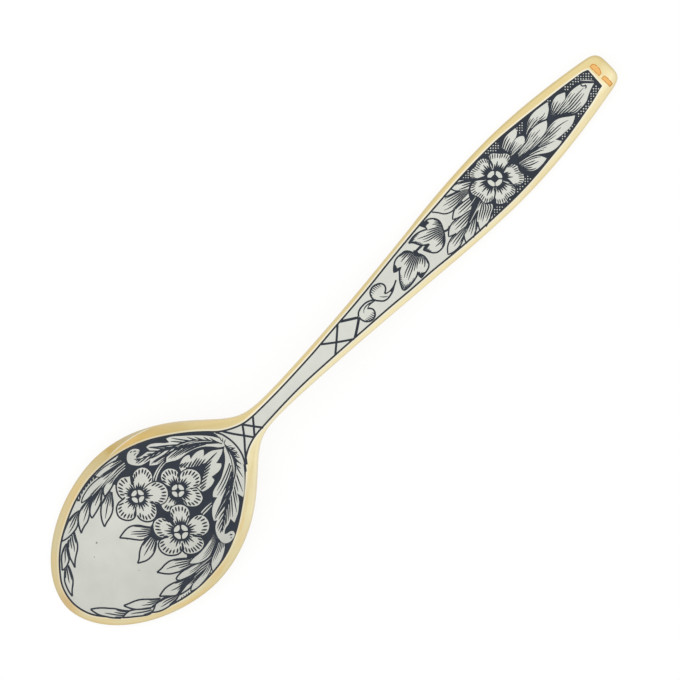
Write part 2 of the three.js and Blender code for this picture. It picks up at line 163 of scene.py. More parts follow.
def middle(x):
    """The hand-forged spoon leans a little to one side: this is the y of its middle line."""
    x = np.asarray(x, float)
    return smooth(np.clip(x, TIP, END).ravel(), *zip(*LEAN_KNOTS)).reshape(x.shape)


print("bowl", 2 * half_width(WIDEST), "neck", round(2 * float(half_width(-16.0)), 2), "mm wide")

# %% Heights of the front and of the back
BOWL_HEIGHT = 7.6
NECK_LIFT = 3.4
END_LIFT = 1.2
NECK_THICKNESS = 2.9
HANDLE_THICKNESS = 1.7
END_THICKNESS = 1.5
RIM_EDGE = 0.45
HANDLE_EDGE = 0.85
HOLLOW_HALF = 14.3
HOLLOW_FRONT = 20.8
HOLLOW_HEEL = 21.0
HOLLOW_DEPTH = 6.5
HOLLOW_FRONT_POWERS = (1.7, 0.48)
HOLLOW_HEEL_POWERS = (2.6, 0.9)
TIP_POWERS = (2.2, 1)
HEEL_POWERS = (2, 1.5)
BOWL_CROWN = (2.3, 1.0)
HANDLE_CROWN = (7.0, 0.5)
TILT = NECK_LIFT / (NECK - TIP)


def front_height(x):
    span = PAD - NECK
    t = np.clip((x - NECK) / span, 0, 1)
    bend = NECK_LIFT * (2 * t**3 - 3 * t**2 + 1) + TILT * span * (t**3 - 2 * t**2 + t)
    lift = END_LIFT * np.clip((x - PAD_END) / (END - PAD_END), 0, 1) ** 2
    return np.where(x < NECK, TILT * (x - TIP), np.where(x < PAD, bend, lift))


def edge_height(x):
    return lerp(RIM_EDGE, HANDLE_EDGE, ease(WIDEST, NECK, x))


def thickness(x):
    side = edge_height(x)
    bowl = lerp(side, BOWL_HEIGHT, fall((WIDEST - x) / (WIDEST - TIP), TIP_POWERS))
    heel = lerp(NECK_THICKNESS, BOWL_HEIGHT, fall((x - WIDEST) / (NECK - WIDEST), HEEL_POWERS))
    stem = lerp(NECK_THICKNESS, HANDLE_THICKNESS, ease(RISE, FULL, x))
    plate = lerp(HANDLE_THICKNESS, END_THICKNESS, np.clip((x - FULL) / (END - FULL), 0, 1))
    handle = lerp(side, plate, end_round(x))
    return np.where(x < WIDEST, bowl, np.where(x < NECK, heel, np.where(x < FULL, stem, handle)))


def back_height(x, y):
    x = np.clip(x, TIP, END)
    across = np.clip(np.abs(y - middle(x)) / np.maximum(half_width(x), 1e-3), 0, 1)
    blend = ease(WIDEST, NECK, x)
    crown = fall(across, [lerp(bowl, handle, blend) for bowl, handle in zip(BOWL_CROWN, HANDLE_CROWN)])
    side = edge_height(x)
    return front_height(x) + side + (thickness(x) - side) * crown


def hollow_reach(x):
    """0 at the bowl's widest place, 1 at both ends of the hollow."""
    ahead = (WIDEST - x) / HOLLOW_FRONT
    behind = (x - WIDEST) / HOLLOW_HEEL
    return np.clip(np.where(x < WIDEST, ahead, behind), 0, 1)


def hollow_half(x):
    """Half the width of the hollow's mouth."""
    reach = hollow_reach(x)
    ahead = fall(reach, HOLLOW_FRONT_POWERS)
    behind = fall(reach, HOLLOW_HEEL_POWERS)
    return HOLLOW_HALF * np.where(x < WIDEST, ahead, behind)


def hollow_height(x, y):
    """The front face: flat along the rim and handle, and deep in the bowl."""
    across = np.abs(y - middle(x)) / np.maximum(hollow_half(x), 1e-3)
    return front_height(x) + HOLLOW_DEPTH * fall(hollow_reach(x), TIP_POWERS) * fall(across, BOWL_CROWN)


def face_up(height, points, reach=0.06):
    """Unit normals of a height function, from its slope over a short reach."""
    x, y = points[:, 0], points[:, 1]
    slope_x = (height(x + reach, y) - height(x - reach, y)) / (2 * reach)
    slope_y = (height(x, y + reach) - height(x, y - reach)) / (2 * reach)
    normals = np.stack([-slope_x, -slope_y, np.ones_like(x)], axis=1)
    return normals / np.linalg.norm(normals, axis=1, keepdims=True)


print("back of the bowl stands", round(float(back_height(WIDEST, 0.0)), 2), "mm above the table")

# %% [markdown]
# ## Drawing on the blank
# The ornament is line work, so we draw it flat first, as an engraver does on paper: smooth curves through
# a few given points, in millimetres along and across the spoon. Curve objects could carry it, but
# plain arrays let us cut one mesh along all lines later. A point with a third number is a sharp corner.

# %% Smooth edges and strokes
STEP = 0.3


def distances(points):
    """How far along a line each of its points lies."""
    return np.concatenate([[0], np.cumsum(np.hypot(*np.diff(points, axis=0).T))])


def through(points, step=STEP):
    """A smooth curve through all the points."""
    points = np.array(points, float)
    along = distances(points)
    count = max(2, int(math.ceil(along[-1] / step)) + 1)
    return smooth(np.linspace(0, along[-1], count), along, points)


def edge(points, step=STEP):
    """A curve through the points that turns sharply only at those with a third number."""
    last = len(points) - 1
    corners = [0] + [i for i in range(1, last) if len(points[i]) > 2] + [last]
    flat = [point[:2] for point in points]
    runs = [through(flat[a:b + 1], step) for a, b in zip(corners, corners[1:])]
    return np.vstack([runs[0]] + [run[1:] for run in runs[1:]])


def sideways(path):
    """Unit vectors to the left of a path at each of its points."""
    along = np.gradient(path, axis=0)
    along /= np.maximum(np.hypot(*along.T), 1e-9)[:, None]
    return np.stack([-along[:, 1], along[:, 0]], axis=1)


EVEN = (1, 1)
TAPERED = (1, 0.85, 0.2)
SPINDLE = (0.25, 1, 0.25)
HAIR = (0.4, 1, 0.6)


def stroke(points, width, shape=EVEN, step=STEP):
    """The outline of one cut of the graver, as wide as its shape says along the way."""
    path = edge(points, step)
    share = np.linspace(0, 1, len(path))
    half = width / 2 * np.interp(share, np.linspace(0, 1, len(shape)), shape)
    offset = sideways(path) * half[:, None]
    return np.vstack([path + offset, (path - offset)[::-1]])


def ring(loop, distance):
    """A closed loop moved inwards by a distance, if it runs anticlockwise."""
    ahead = np.roll(loop, -1, axis=0) - np.roll(loop, 1, axis=0)
    ahead /= np.maximum(np.hypot(*ahead.T), 1e-9)[:, None]
    return loop + distance * np.stack([-ahead[:, 1], ahead[:, 0]], axis=1)


print("a cut 2 mm long and tapered has", len(stroke([(0, 0), (2, 0)], 0.3, TAPERED)), "points")

# %% The list of marks
marks = []


def cut(name, polygon, within=None):
    """Engraves a polygon for one named filling of niello, clipped by another if there is one."""
    marks.append((name, np.asarray(polygon, float), within))


def leave(polygon):
    """Leaves a polygon standing as bright silver."""
    cut("silver", polygon)


def line(name, points, width=0.26, shape=EVEN):
    cut(name, stroke(points, width, shape))


def bright(points, width=0.14, shape=SPINDLE):
    leave(stroke(points, width, shape))


def tell(what):
    print(len(marks), "marks with", what)


print(len(marks), "marks so far")


# %% [markdown]
# ## Silhouette, panel and border line
# The silhouette comes from the half width, walked at even steps so that the tip and the end stay round.
# The panel is the silver field, framed by one thin niello line. All outside it is gilt. Its outline was
# read from the photograph at a few stations, because the maker drew it by hand, not parallel to the rim.

# %% Silhouette
RIM_STEP = 0.42


def even_steps(loop, step):
    closed = np.vstack([loop, loop[:1]])
    along = distances(closed)
    ask = np.linspace(0, along[-1], int(along[-1] / step) + 1)[:-1]
    return np.stack([np.interp(ask, along, closed[:, axis]) for axis in (0, 1)], axis=1)


swing = (1 - np.cos(np.linspace(0, math.pi, 6000))) / 2
stations = TIP + (END - TIP) * swing
upper_side = np.stack([stations, middle(stations) + half_width(stations)], axis=1)
lower_side = np.stack([stations, middle(stations) - half_width(stations)], axis=1)
silhouette = even_steps(np.vstack([lower_side, upper_side[-2:0:-1]]), RIM_STEP)
print("silhouette:", len(silhouette), "points")

# %% Panel and border line
BORDER_WIDTH = 0.33
PANEL = [
    (65.4, -1.75), (65.65, 2.1, 1), (65, 2.4), (63, 2.8), (60, 3.25), (55, 3.85), (50, 4.45), (45, 4.9),
    (40, 4.95), (35, 4.8), (30, 4.45), (25, 4.1), (20, 3.65), (15, 3.15), (10, 2.6), (5, 2.15),
    (0, 1.8), (-5, 1.4), (-10, 1.15), (-15, 1.0), (-19, 1.0), (-21, 1.05), (-23, 1.3), (-25, 2.05),
    (-27, 3.25), (-29, 5.15), (-31, 6.95), (-34, 9.2), (-38, 11.6), (-42, 13.1), (-46, 13.8),
    (-50, 13.8), (-54, 12.95), (-58, 11.35), (-62, 9.05), (-65, 6.3), (-67, 3.55), (-67.8, 0),
    (-67, -3.5), (-65, -6.3), (-62, -9.25), (-58, -11.7), (-54, -13.25), (-50, -14), (-46, -14),
    (-42, -13.4), (-38, -11.85), (-34, -9.4), (-31, -7.15), (-29, -5.35), (-27, -3.6), (-25, -2.55),
    (-23, -2.05), (-21, -1.9), (-19, -1.8), (-15, -1.65), (-10, -1.65), (-5, -1.9), (0, -2.2),
    (5, -2.55), (10, -2.9), (15, -3.35), (20, -3.7), (25, -4.2), (30, -4.6), (35, -4.8), (40, -4.95),
    (45, -4.8), (50, -4.35), (55, -3.8), (60, -2.95), (63, -2.35), (65, -1.8), (65.4, -1.75),
]
panel = edge(PANEL)[:-1]
cut("border_line", panel)
leave(ring(panel, BORDER_WIDTH))
print("panel:", len(panel), "points round", len(PANEL), "stations")

# %% [markdown]
# ## The engraver's vocabulary
# The ornament repeats a few figures: petals with dashed edges, four-part flower eyes, leaves with strokes
# from their base, and feathered ribs. Each figure is a function, so that a motif is only a list of points
# read from the photograph. Strokes get small seeded differences, because a hand never repeats exactly.

# %% Strokes by hand
OUTLINE = 0.31
HATCH = 0.26
RAY_WIDTH = 0.4
RAY_PITCH = 0.28
LONG_RAY = 1.1
SHORT_RAY = 0.92
COMB = (1, 1, 1, 0.85, 0.3)
RAY = (1, 1, 0.85, 0.6, 0.2)
DASH = (0.6, 1, 0.95, 0.4)
hand = np.random.default_rng(11)


def unit(vector):
    return vector / max(float(np.hypot(*vector)), 1e-9)


def travelled(curve):
    """The share of a curve's length that lies before each of its points."""
    along = distances(curve)
    return along / along[-1]


def at(curve, share):
    """The points at given shares of a curve's length."""
    reached = travelled(curve)
    return np.stack([np.interp(share, reached, curve[:, axis]) for axis in (0, 1)], axis=-1)


def flick(name, start, end, width=HATCH, bend=0.0, shape=TAPERED):
    """One tapered cut from start to end, bent sideways by a share of its length."""
    start, end = np.array(start, float), np.array(end, float)
    run = end - start
    centre = start + run / 2 + bend * np.array([-run[1], run[0]])
    cut(name, stroke([tuple(start), tuple(centre), tuple(end)], width, shape))


print("a hatch stroke is", HATCH, "mm wide, an outline", OUTLINE, "mm")


# %% Flowers
EYE_ARC = np.radians(np.linspace(-38, 38, 7))
EYE_CORNERS = np.radians([34, 0, -34])


def directions(angles):
    return np.column_stack([np.cos(angles), np.sin(angles)])


def eye(name, centre, radius, angles, square, surround=0.32):
    """A dark disc with four bright parts round a dark square."""
    turn = np.linspace(0, 2 * math.pi, 36)[:-1]
    cut(name, np.array(centre) + (radius + surround) * directions(turn))
    corner = radius * 0.52
    for angle in np.radians(angles):
        outer = directions(angle + EYE_ARC) * radius
        outer[[0, -1]] *= 0.92
        inner = directions(angle + EYE_CORNERS) * np.array([[corner], [square], [corner]])
        leave(np.array(centre) + np.vstack([outer, inner]))


def petal(name, centre, points, reach=3.1, inner=1.2, spread=(0.2, 0.8), gap=0.34, outline=0.22, dash=0.32,
          stretch=1.0):
    """A bright petal with an outline, dashes along its edge and strokes from the eye."""
    centre = np.array(centre, float)
    rim_line = edge(points)
    leave(np.vstack([rim_line, centre[None]]))
    line(name, points, outline)
    length = float(distances(rim_line)[-1])
    dashes = max(3, round(length * (spread[1] - spread[0]) / (0.08 + 1.65 * dash)))
    for share in np.linspace(*spread, dashes):
        spot = at(rim_line, share + hand.uniform(-0.006, 0.006))
        inward = unit(centre - spot)
        far = gap + dash * stretch * hand.uniform(2.5, 3.3)
        flick(name, spot + gap * inward, spot + far * inward, dash, 0, DASH)
    first = math.atan2(*(rim_line[0] - centre)[::-1])
    last = math.atan2(*(rim_line[-1] - centre)[::-1])
    outward = math.atan2(*(at(rim_line, 0.5) - centre)[::-1])
    first = outward + math.remainder(first - outward, 2 * math.pi)
    last = outward + math.remainder(last - outward, 2 * math.pi)
    rays = max(4, round(abs(last - first) * inner / RAY_PITCH))
    for index in range(rays):
        angle = lerp(first, last, (index + 0.5) / rays)
        angle = lerp(angle, outward, 0.12)
        way = np.array([math.cos(angle), math.sin(angle)])
        far = reach * (LONG_RAY if index % 2 else SHORT_RAY) * hand.uniform(0.95, 1.06)
        flick(name, centre + inner * way, centre + far * way, RAY_WIDTH, 0, RAY)


print("figures for a flower: eye, petal")


# %% Leaves
LEAF_STROKES = ((0.2, 0.58), (0.36, 0.36), (0.5, 0.2), (0.66, 0.38), (0.82, 0.58))


def hatch(name, tip, upper, lower, strokes=LEAF_STROKES, width=HATCH):
    """Strokes from a leaf's base, evenly spaced between its sides, that stop where the list says."""
    sides = [edge([tip] + side) for side in (upper, lower)]
    ways = np.linspace(0, 1, 21)
    gaps = np.hypot(*(at(sides[0], ways) - at(sides[1], ways)).T)
    count = max(3, round(float(gaps.max()) / (1.8 * width)))
    shares, stops = np.array(strokes, float).T
    for index in range(count):
        share = (index + 0.5) / count
        stop = np.interp(share, shares, stops) + hand.uniform(-0.04, 0.05) + (0.04 if index % 2 else -0.05)
        steps = np.linspace(1, max(stop, 0.12), 6)
        middle_line = lerp(at(sides[0], steps), at(sides[1], steps), share)
        room = np.hypot(*(at(sides[0], steps) - at(sides[1], steps)).T) / count
        shape = np.interp(np.linspace(0, 1, 6), np.linspace(0, 1, len(COMB)), COMB)
        shape = np.minimum(shape, 0.86 * room / width)
        cut(name, stroke([tuple(p) for p in middle_line], width, tuple(shape)))


def leaf(name, tip, upper, lower, strokes=LEAF_STROKES, outline=OUTLINE, width=HATCH):
    """A bright leaf between two sides that start at its tip, with strokes from its base."""
    sides = [edge([tip] + side) for side in (upper, lower)]
    leave(np.vstack([sides[0], sides[1][::-1]]))
    if outline:
        for side in (upper, lower):
            line(name, [tip] + side, outline)
    hatch(name, tip, upper, lower, strokes, width)


def feather(name, rib, body, core=(0.3, 0.8, 0.3), lean=24, reach=(2.2, 2.2), count=16, span=(0.06, 0.96)):
    """A dark rib with strokes that lean towards its start on both sides, kept inside a leaf's body."""
    spine = edge(rib)
    cut(name, stroke(rib, 1.0, core))
    safe = ring(body, 0.22)
    rib_length = float(distances(spine)[-1])
    away = -np.gradient(spine, axis=0)
    for index, share in enumerate(np.linspace(*span, count)):
        spot = at(spine, share)
        way = unit(np.array([np.interp(share, travelled(spine), away[:, axis]) for axis in (0, 1)]))
        for side, length in zip((-1, 1), reach):
            turn = math.radians(side * lean * hand.uniform(0.88, 1.12))
            leaning = np.array([
                way[0] * math.cos(turn) - way[1] * math.sin(turn),
                way[0] * math.sin(turn) + way[1] * math.cos(turn)])
            length *= hand.uniform(0.85, 1.1) * (1 if index % 2 else 0.8)
            length = min(length, 0.5 + 0.75 * share * rib_length)
            while length > 0.4 and not inside(safe, (spot + length * leaning)[None])[0]:
                length -= 0.15
            if length > 0.4:
                bent = spot + 0.5 * length * leaning + 0.04 * side * length * way[::-1]
                far = spot + length * leaning
                cut(name, stroke([tuple(spot), tuple(bent), tuple(far)], 0.25, COMB))


def anticlockwise(points):
    """A closed outline that runs anticlockwise."""
    loop = edge(points)[:-1]
    x, y = loop.T
    area = np.sum(x * np.roll(y, -1) - np.roll(x, -1) * y)
    return loop if area > 0 else loop[::-1]


def inside(polygon, points):
    """True for the points that a polygon winds round."""
    low = polygon.min(axis=0)
    high = polygon.max(axis=0)
    near = np.flatnonzero(np.all((points >= low) & (points <= high), axis=1))
    px, py = points[near].T
    turns = np.zeros(len(near), int)
    for (ax, ay), (bx, by) in zip(polygon, np.roll(polygon, -1, axis=0)):
        side = (bx - ax) * (py - ay) - (px - ax) * (by - ay)
        turns += ((ay <= py) & (by > py) & (side > 0)).astype(int)
        turns -= ((ay > py) & (by <= py) & (side < 0)).astype(int)
    found = np.zeros(len(points), bool)
    found[near] = turns != 0
    return found


def dots(region, pitch=0.5, size=0.26, turn=45):
    """A net of small bright diamonds left standing in a dark region."""
    region = np.asarray(region, float)
    low, high = region.min(axis=0), region.max(axis=0)
    across = np.array([math.cos(math.radians(turn)), math.sin(math.radians(turn))])
    upwards = np.array([-across[1], across[0]])
    steps = range(-60, 61)
    net = np.array([low + pitch * (i * across + j * upwards) for i in steps for j in steps])
    net = net[np.all((net >= low) & (net <= high), axis=1)]
    for knot in net[inside(region, net)]:
        half = size / 2 * hand.uniform(0.8, 1.15)
        leave(knot + half * np.array([(1, 0), (0, 1), (-1, 0), (0, -1)]))


print("figures for leaves and grounds: leaf, feather, dots")

# %% [markdown]
# ## The bowl's ornament
# Three flowers and a lobed leaf lie on a dark ground near the heel, held between two curling acanthus
# arms. A spray of small leaves runs from each arm along the border towards the tip, and a pair of leaves
# points to the open silver. What lies in front is drawn later, as an engraver would mask it.

# %% Dark ground
GROUND = [
    (-43.2, 13.0), (-42, 12.9), (-38, 11.4), (-34, 9.0), (-31, 6.75), (-29, 4.95), (-28.2, 4.0),
    (-28.0, 2.0, 1), (-28.05, 0.6), (-28.0, -2.2), (-28.4, -4.5, 1), (-31, -6.95), (-34, -9.2),
    (-38, -11.65), (-42, -13.2), (-44, -13.7, 1), (-43, -12.0), (-44.5, -10.2), (-46.5, -9.5),
    (-47.8, -8.9, 1), (-46.9, -8.2), (-47.5, -5.5), (-48.6, -3.2), (-49.6, -1.35, 1), (-48.2, -0.1, 1),
    (-46.9, 0.35), (-46.5, 2.0), (-47.5, 5.0), (-47.9, 7.0, 1), (-48.1, 8.2), (-47.2, 9.6), (-50.2, 9.2, 1),
    (-49.5, 9.6), (-46.2, 10.3), (-44.2, 10.7, 1), (-43.0, 11.4), (-43.2, 13.0),
]
cut("bowl_ground", edge(GROUND)[:-1])
tell("the dark ground")

# %% Lobed leaf behind the flowers
LOBED_LEAF = [
    (-36.8, 3.75), (-36, 4.2), (-35.2, 4.4), (-34.5, 4.35), (-33.95, 4.05, 1), (-34.3, 3.3, 1),
    (-33.3, 3.5), (-32.6, 3.45), (-31.9, 3.2), (-31.5, 2.9, 1), (-31.9, 2.4), (-32.4, 2.05, 1),
    (-31.4, 1.95), (-30.6, 1.7), (-29.8, 1.15), (-29, 0.55, 1), (-29.7, 0.1), (-30.6, -0.2),
    (-31.6, -0.4, 1), (-31, -1.1, 1), (-31.4, -1.5), (-32.2, -1.75), (-33.1, -1.7), (-33.9, -1.55, 1),
    (-33.95, -2.3, 1), (-34.7, -2.6), (-35.6, -2.65), (-36.9, -2.3, 1), (-37.4, 0.8), (-36.8, 3.75),
]
leave(edge(LOBED_LEAF)[:-1])
VEINS = "bowl_leaf_veins"
cut(VEINS, edge([
    (-36, 3.0), (-35.0, 2.1), (-34.1, 1.45), (-33.0, 1.05), (-32.6, 0.8), (-33.2, 0.5), (-34.1, 0.05),
    (-35.0, -0.5), (-36.2, -1.2, 1), (-36.5, 1), (-36, 3.0)])[:-1])
LEAF_FLICKS = [
    ((-36.9, 3.9), (-35.8, 3.8)), ((-36.7, 3.55), (-35.2, 3.5)), ((-36.3, 3.15), (-34.9, 3.2)),
    ((-35.6, 2.6), (-34.4, 2.95)), ((-35.2, 2.3), (-33.3, 2.65)), ((-34.9, 1.9), (-33.1, 2.3)),
    ((-34.6, 1.6), (-32.9, 1.9)), ((-34.2, 1.3), (-32.4, 1.5)), ((-33.4, 0.85), (-30.1, 0.85)),
    ((-33.6, 0.5), (-31.8, 0.48)), ((-34.0, 0.15), (-32.4, 0.1)), ((-34.6, -0.1), (-33.0, -0.3)),
    ((-35.2, -0.3), (-33.6, -0.65)), ((-35.7, -0.7), (-34.2, -0.95)), ((-36.3, -1.1), (-34.8, -1.3)),
    ((-36.8, -1.5), (-35.3, -1.65)), ((-36.9, -1.85), (-35.8, -2.0)),
]
for start, end in LEAF_FLICKS:
    flick(VEINS, start, end, 0.3, 0, COMB)
tell("the lobed leaf")

# %% Acanthus arms
UPPER_ARM = [
    (-42.75, 10.8), (-42.6, 11.2), (-42.2, 11.7), (-41.6, 12.1), (-40.9, 12.15), (-40.3, 11.9),
    (-39.8, 11.4), (-39.65, 11.05), (-40, 10.75), (-40.5, 10.7), (-41, 10.6, 1), (-41.1, 10.4),
    (-40.6, 10.1), (-39.9, 9.95), (-39, 9.8), (-38.4, 9.65, 1), (-38.45, 10.5, 1), (-37.8, 10.45),
    (-37, 10), (-36.2, 9.3), (-35.5, 8.6), (-34.9, 8.2, 1), (-34.85, 9.05, 1), (-34.2, 8.8), (-33.4, 8.2),
    (-32.4, 7.3), (-31.3, 6.3), (-30.2, 5.2), (-29.3, 4.2), (-28.5, 3.1), (-28, 2), (-28.05, 1.2, 1),
    (-28.35, 0.65, 1), (-29.2, 1.2), (-30, 2.2), (-31, 3.2), (-32.3, 4), (-33.3, 4.4), (-34.3, 4.65),
    (-35.3, 4.75), (-36.2, 5), (-37, 5.5), (-37.9, 6, 1), (-37.1, 6.65, 1), (-38.3, 6.75), (-39.2, 6.9),
    (-39.8, 7.3), (-40.35, 7.8, 1), (-39.5, 8.4, 1), (-40.5, 8.6), (-41.2, 8.8), (-41.8, 9.2), (-42.3, 9.8),
    (-42.6, 10.3), (-42.75, 10.8),
]
LOWER_ARM = [
    (-40.9, -10.6), (-40.95, -11.1), (-40.6, -11.8), (-40, -12.1), (-39.3, -12.15), (-38.6, -12),
    (-38.15, -11.6), (-38.1, -11.2), (-38.5, -10.85), (-39.2, -10.7), (-39.6, -10.5, 1), (-38.8, -9.9),
    (-37.8, -9.7), (-36.85, -9.25, 1), (-36.85, -10.25, 1), (-36, -9.9), (-35.2, -9.5), (-34.4, -8.9),
    (-33.6, -8.2), (-33.1, -7.5), (-32.8, -6.8, 1), (-32.5, -8.15, 1), (-31.8, -7.7), (-31, -7), (-30, -6),
    (-29, -4.9), (-28.3, -3.9), (-28, -3), (-28, -2.2, 1), (-28.5, -1.2), (-28.35, 0.65, 1), (-28.9, 0.3),
    (-29.4, -0.4), (-30.2, -1.3), (-31, -1.9), (-32, -2.5), (-33, -3), (-34, -3.25), (-35, -3.45),
    (-35.8, -3.8), (-36.3, -4.3, 1), (-35.8, -4.9, 1), (-36.5, -5.05), (-37.4, -5.4), (-38.2, -6),
    (-38.8, -6.7), (-39.2, -7.45, 1), (-38.7, -7.8, 1), (-39.4, -8.1), (-40, -8.6), (-40.5, -9.3),
    (-40.8, -10), (-40.9, -10.6),
]
UPPER_RIB = [(-41.5, 10.1), (-39, 9), (-37, 8.2), (-35.3, 7.2), (-33, 6.2), (-31, 4.7), (-29.5, 3),
             (-28.4, 1.3)]
LOWER_RIB = [(-39.6, -9.9), (-38, -8.6), (-36, -7.3), (-34, -6.2), (-32, -4.9), (-30.3, -3.6), (-29, -2.2),
             (-28.3, -0.6)]
for name, arm, rib in (
        ("bowl_arm_vein_upper", UPPER_ARM, UPPER_RIB), ("bowl_arm_vein_lower", LOWER_ARM, LOWER_RIB)):
    body = anticlockwise(arm)
    leave(body)
    feather(name, rib, body, core=(0.15, 0.3, 0.55, 0.5, 0.5, 0.4, 0.2), lean=18, reach=(6.4, 6.4), count=13)
tell("the acanthus arms")

# %% Dark cores of the arms
UPPER_CORE = [
    (-28.45, 1.1), (-28.7, 2.2), (-29.8, 3.5), (-31.7, 4.75), (-33.6, 5.95), (-34.95, 6.7), (-33.9, 5.6),
    (-32, 4.4), (-30.1, 3.15), (-28.8, 1.9), (-28.45, 1.1)]
LOWER_CORE = [
    (-28.4, 0.5), (-28.25, -1.3), (-28.75, -2.7), (-29.7, -3.8), (-31, -4.65), (-31.9, -4.9), (-30.4, -3.25),
    (-29.3, -1.75), (-28.75, -0.45), (-28.4, 0.5)]
UPPER_STROKES = [
    [(-30.5, 3.3), (-32.2, 4.2), (-34.2, 4.85)], [(-31.4, 4.0), (-33.3, 4.75), (-35.3, 5.25)],
    [(-32.3, 4.65), (-34.2, 5.3), (-36.3, 5.65)], [(-33.2, 5.3), (-35.1, 5.75), (-36.8, 5.95)],
    [(-34.2, 5.9), (-35.8, 6.15), (-37.1, 6.25)], [(-36.0, 6.75), (-37.9, 7.2), (-39.4, 7.45)],
    [(-37.0, 7.2), (-38.6, 7.6), (-39.7, 7.85)]]
LOWER_STROKES = [
    [(-29.9, -2.15), (-32.6, -3.3), (-35, -4.0)], [(-30, -2.55), (-32.8, -3.9), (-35.6, -4.65)],
    [(-30.75, -3.4), (-33, -4.45), (-35.2, -5.1)], [(-31.6, -4.35), (-33.2, -5.05), (-35, -5.6)],
    [(-32.4, -5.3), (-33.9, -5.95), (-35.4, -6.4)], [(-34.1, -6.2), (-36.2, -6.8), (-38, -7.1)],
    [(-34.6, -6.9), (-36.7, -7.5), (-38.4, -7.8)]]
for name, core, strokes in (
        ("bowl_arm_vein_upper", UPPER_CORE, UPPER_STROKES),
        ("bowl_arm_vein_lower", LOWER_CORE, LOWER_STROKES)):
    cut(name, edge(core)[:-1])
    for points in strokes:
        cut(name, stroke(points, 0.24, COMB))
tell("their cores")

# %% Hairlines and curls of the arms
for way in ([(-28.7, -1.2), (-29.6, -2.9), (-31.2, -4.4)], [(-28.55, -0.6), (-29.3, -2.2), (-30.6, -3.7)],
            [(-29.2, -3.2), (-30.4, -4.3), (-32.2, -5.3)], [(-31.2, -4.9), (-32.8, -5.9), (-34.6, -6.7)],
            [(-29.4, 2.9), (-31, 4.4), (-32.8, 5.6)], [(-31, 4.7), (-32.6, 5.8), (-34.6, 6.8)]):
    bright(way, 0.14, (0.4, 1, 0.4))
for side, start, end, width in (
        ("upper", (-41.25, 11.85), (-40.75, 11.75), 0.24), ("upper", (-40.7, 11.6), (-40.2, 11.25), 0.28),
        ("upper", (-41.1, 11.0), (-40.4, 11.0), 0.2), ("lower", (-39.1, -11.25), (-38.6, -11.55), 0.34),
        ("lower", (-39.4, -11.75), (-39.0, -11.85), 0.2)):
    flick("bowl_arm_vein_" + side, start, end, width, 0.1, SPINDLE)
for way in ([(-42, 5.35), (-40, 6.2), (-38, 6.5)], [(-41.5, 5.05), (-39.7, 5.9), (-37.8, 6.05)],
            [(-39.8, -4.8), (-38.5, -4.75), (-37.2, -4.85)], [(-39.8, -5.25), (-38.6, -5.25), (-37.5, -5.2)]):
    bright(way, 0.22, (0.9, 1, 0.4))
tell("the arms' curls")

# %% The silver band beside the heel
for start, end in (
        ((-28.1, -0.5), (-27.2, -0.9)), ((-28.3, -1.1), (-27.45, -1.8)), ((-28.55, -1.7), (-27.9, -2.7)),
        ((-28.9, -2.3), (-28.5, -3.6)), ((-29.3, -3.0), (-29.2, -4.2))):
    flick("bowl_arm_vein_lower", start, end, 0.26, 0, COMB)
APEX = 0.75
for x, y in ((-27.75, 2.6), (-27.5, 2.0), (-27.3, 1.4), (-27.4, -0.2), (-27.3, -0.9), (-27.5, -1.6),
             (-27.75, -2.5)):
    flick("bowl_ground", (-28.1, APEX + 0.5 * (y - APEX)), (x, y), 0.2, 0.05)
tell("the band beside the heel")

# %% Middle flower
MIDDLE = (-39.95, 0.95)
FLOWER = "bowl_flower_middle"
petal(FLOWER, MIDDLE, [(-41.2, 1.9), (-42.6, 1.6), (-43.6, 1.45), (-44.05, 1.1), (-44.2, 0.5), (-44.15, 0),
                       (-43.9, -0.5), (-43.2, -0.6), (-42, -0.5), (-41.0, 0.1)], 2.4, spread=(0.48, 0.62))
petal(FLOWER, MIDDLE, [(-40.3, 2.2), (-40.75, 3.2), (-40.8, 4.1), (-40.5, 4.8), (-39.9, 5.25),
      (-39.2, 5.35), (-38.4, 5.1), (-37.8, 4.5), (-37.5, 3.8), (-37.55, 3.2), (-38.6, 2.2)], 2.5,
      spread=(0.28, 0.8))
petal(FLOWER, MIDDLE, [(-40.4, -0.8), (-40.85, -1.6), (-40.65, -2.3), (-40.15, -2.95), (-39.35, -3.5),
      (-38.5, -3.55), (-37.7, -3.2), (-37.3, -2.3), (-37.2, -1.2), (-38.1, -0.5)], 2.5, spread=(0.2, 0.8),
      outline=0.2)
petal(FLOWER, MIDDLE, [(-38.3, 2), (-37.9, 2.6), (-37.3, 2.85), (-36.6, 2.8), (-35.8, 2.4), (-35.3, 1.8),
      (-35, 1), (-35.05, 0.2), (-35.5, -0.5), (-36.1, -0.95), (-36.8, -1.05), (-37.5, -0.8), (-38.1, -0.3)],
      2.5, spread=(0.25, 0.78))
flick(FLOWER, (-41.2, -0.2), (-42, -0.7), 0.2)
flick(FLOWER, (-41.1, -0.5), (-41.6, -1.0), 0.2)
eye(FLOWER, MIDDLE, 1.16, (90, 2, -88, 182), 0.38)
tell("the middle flower")

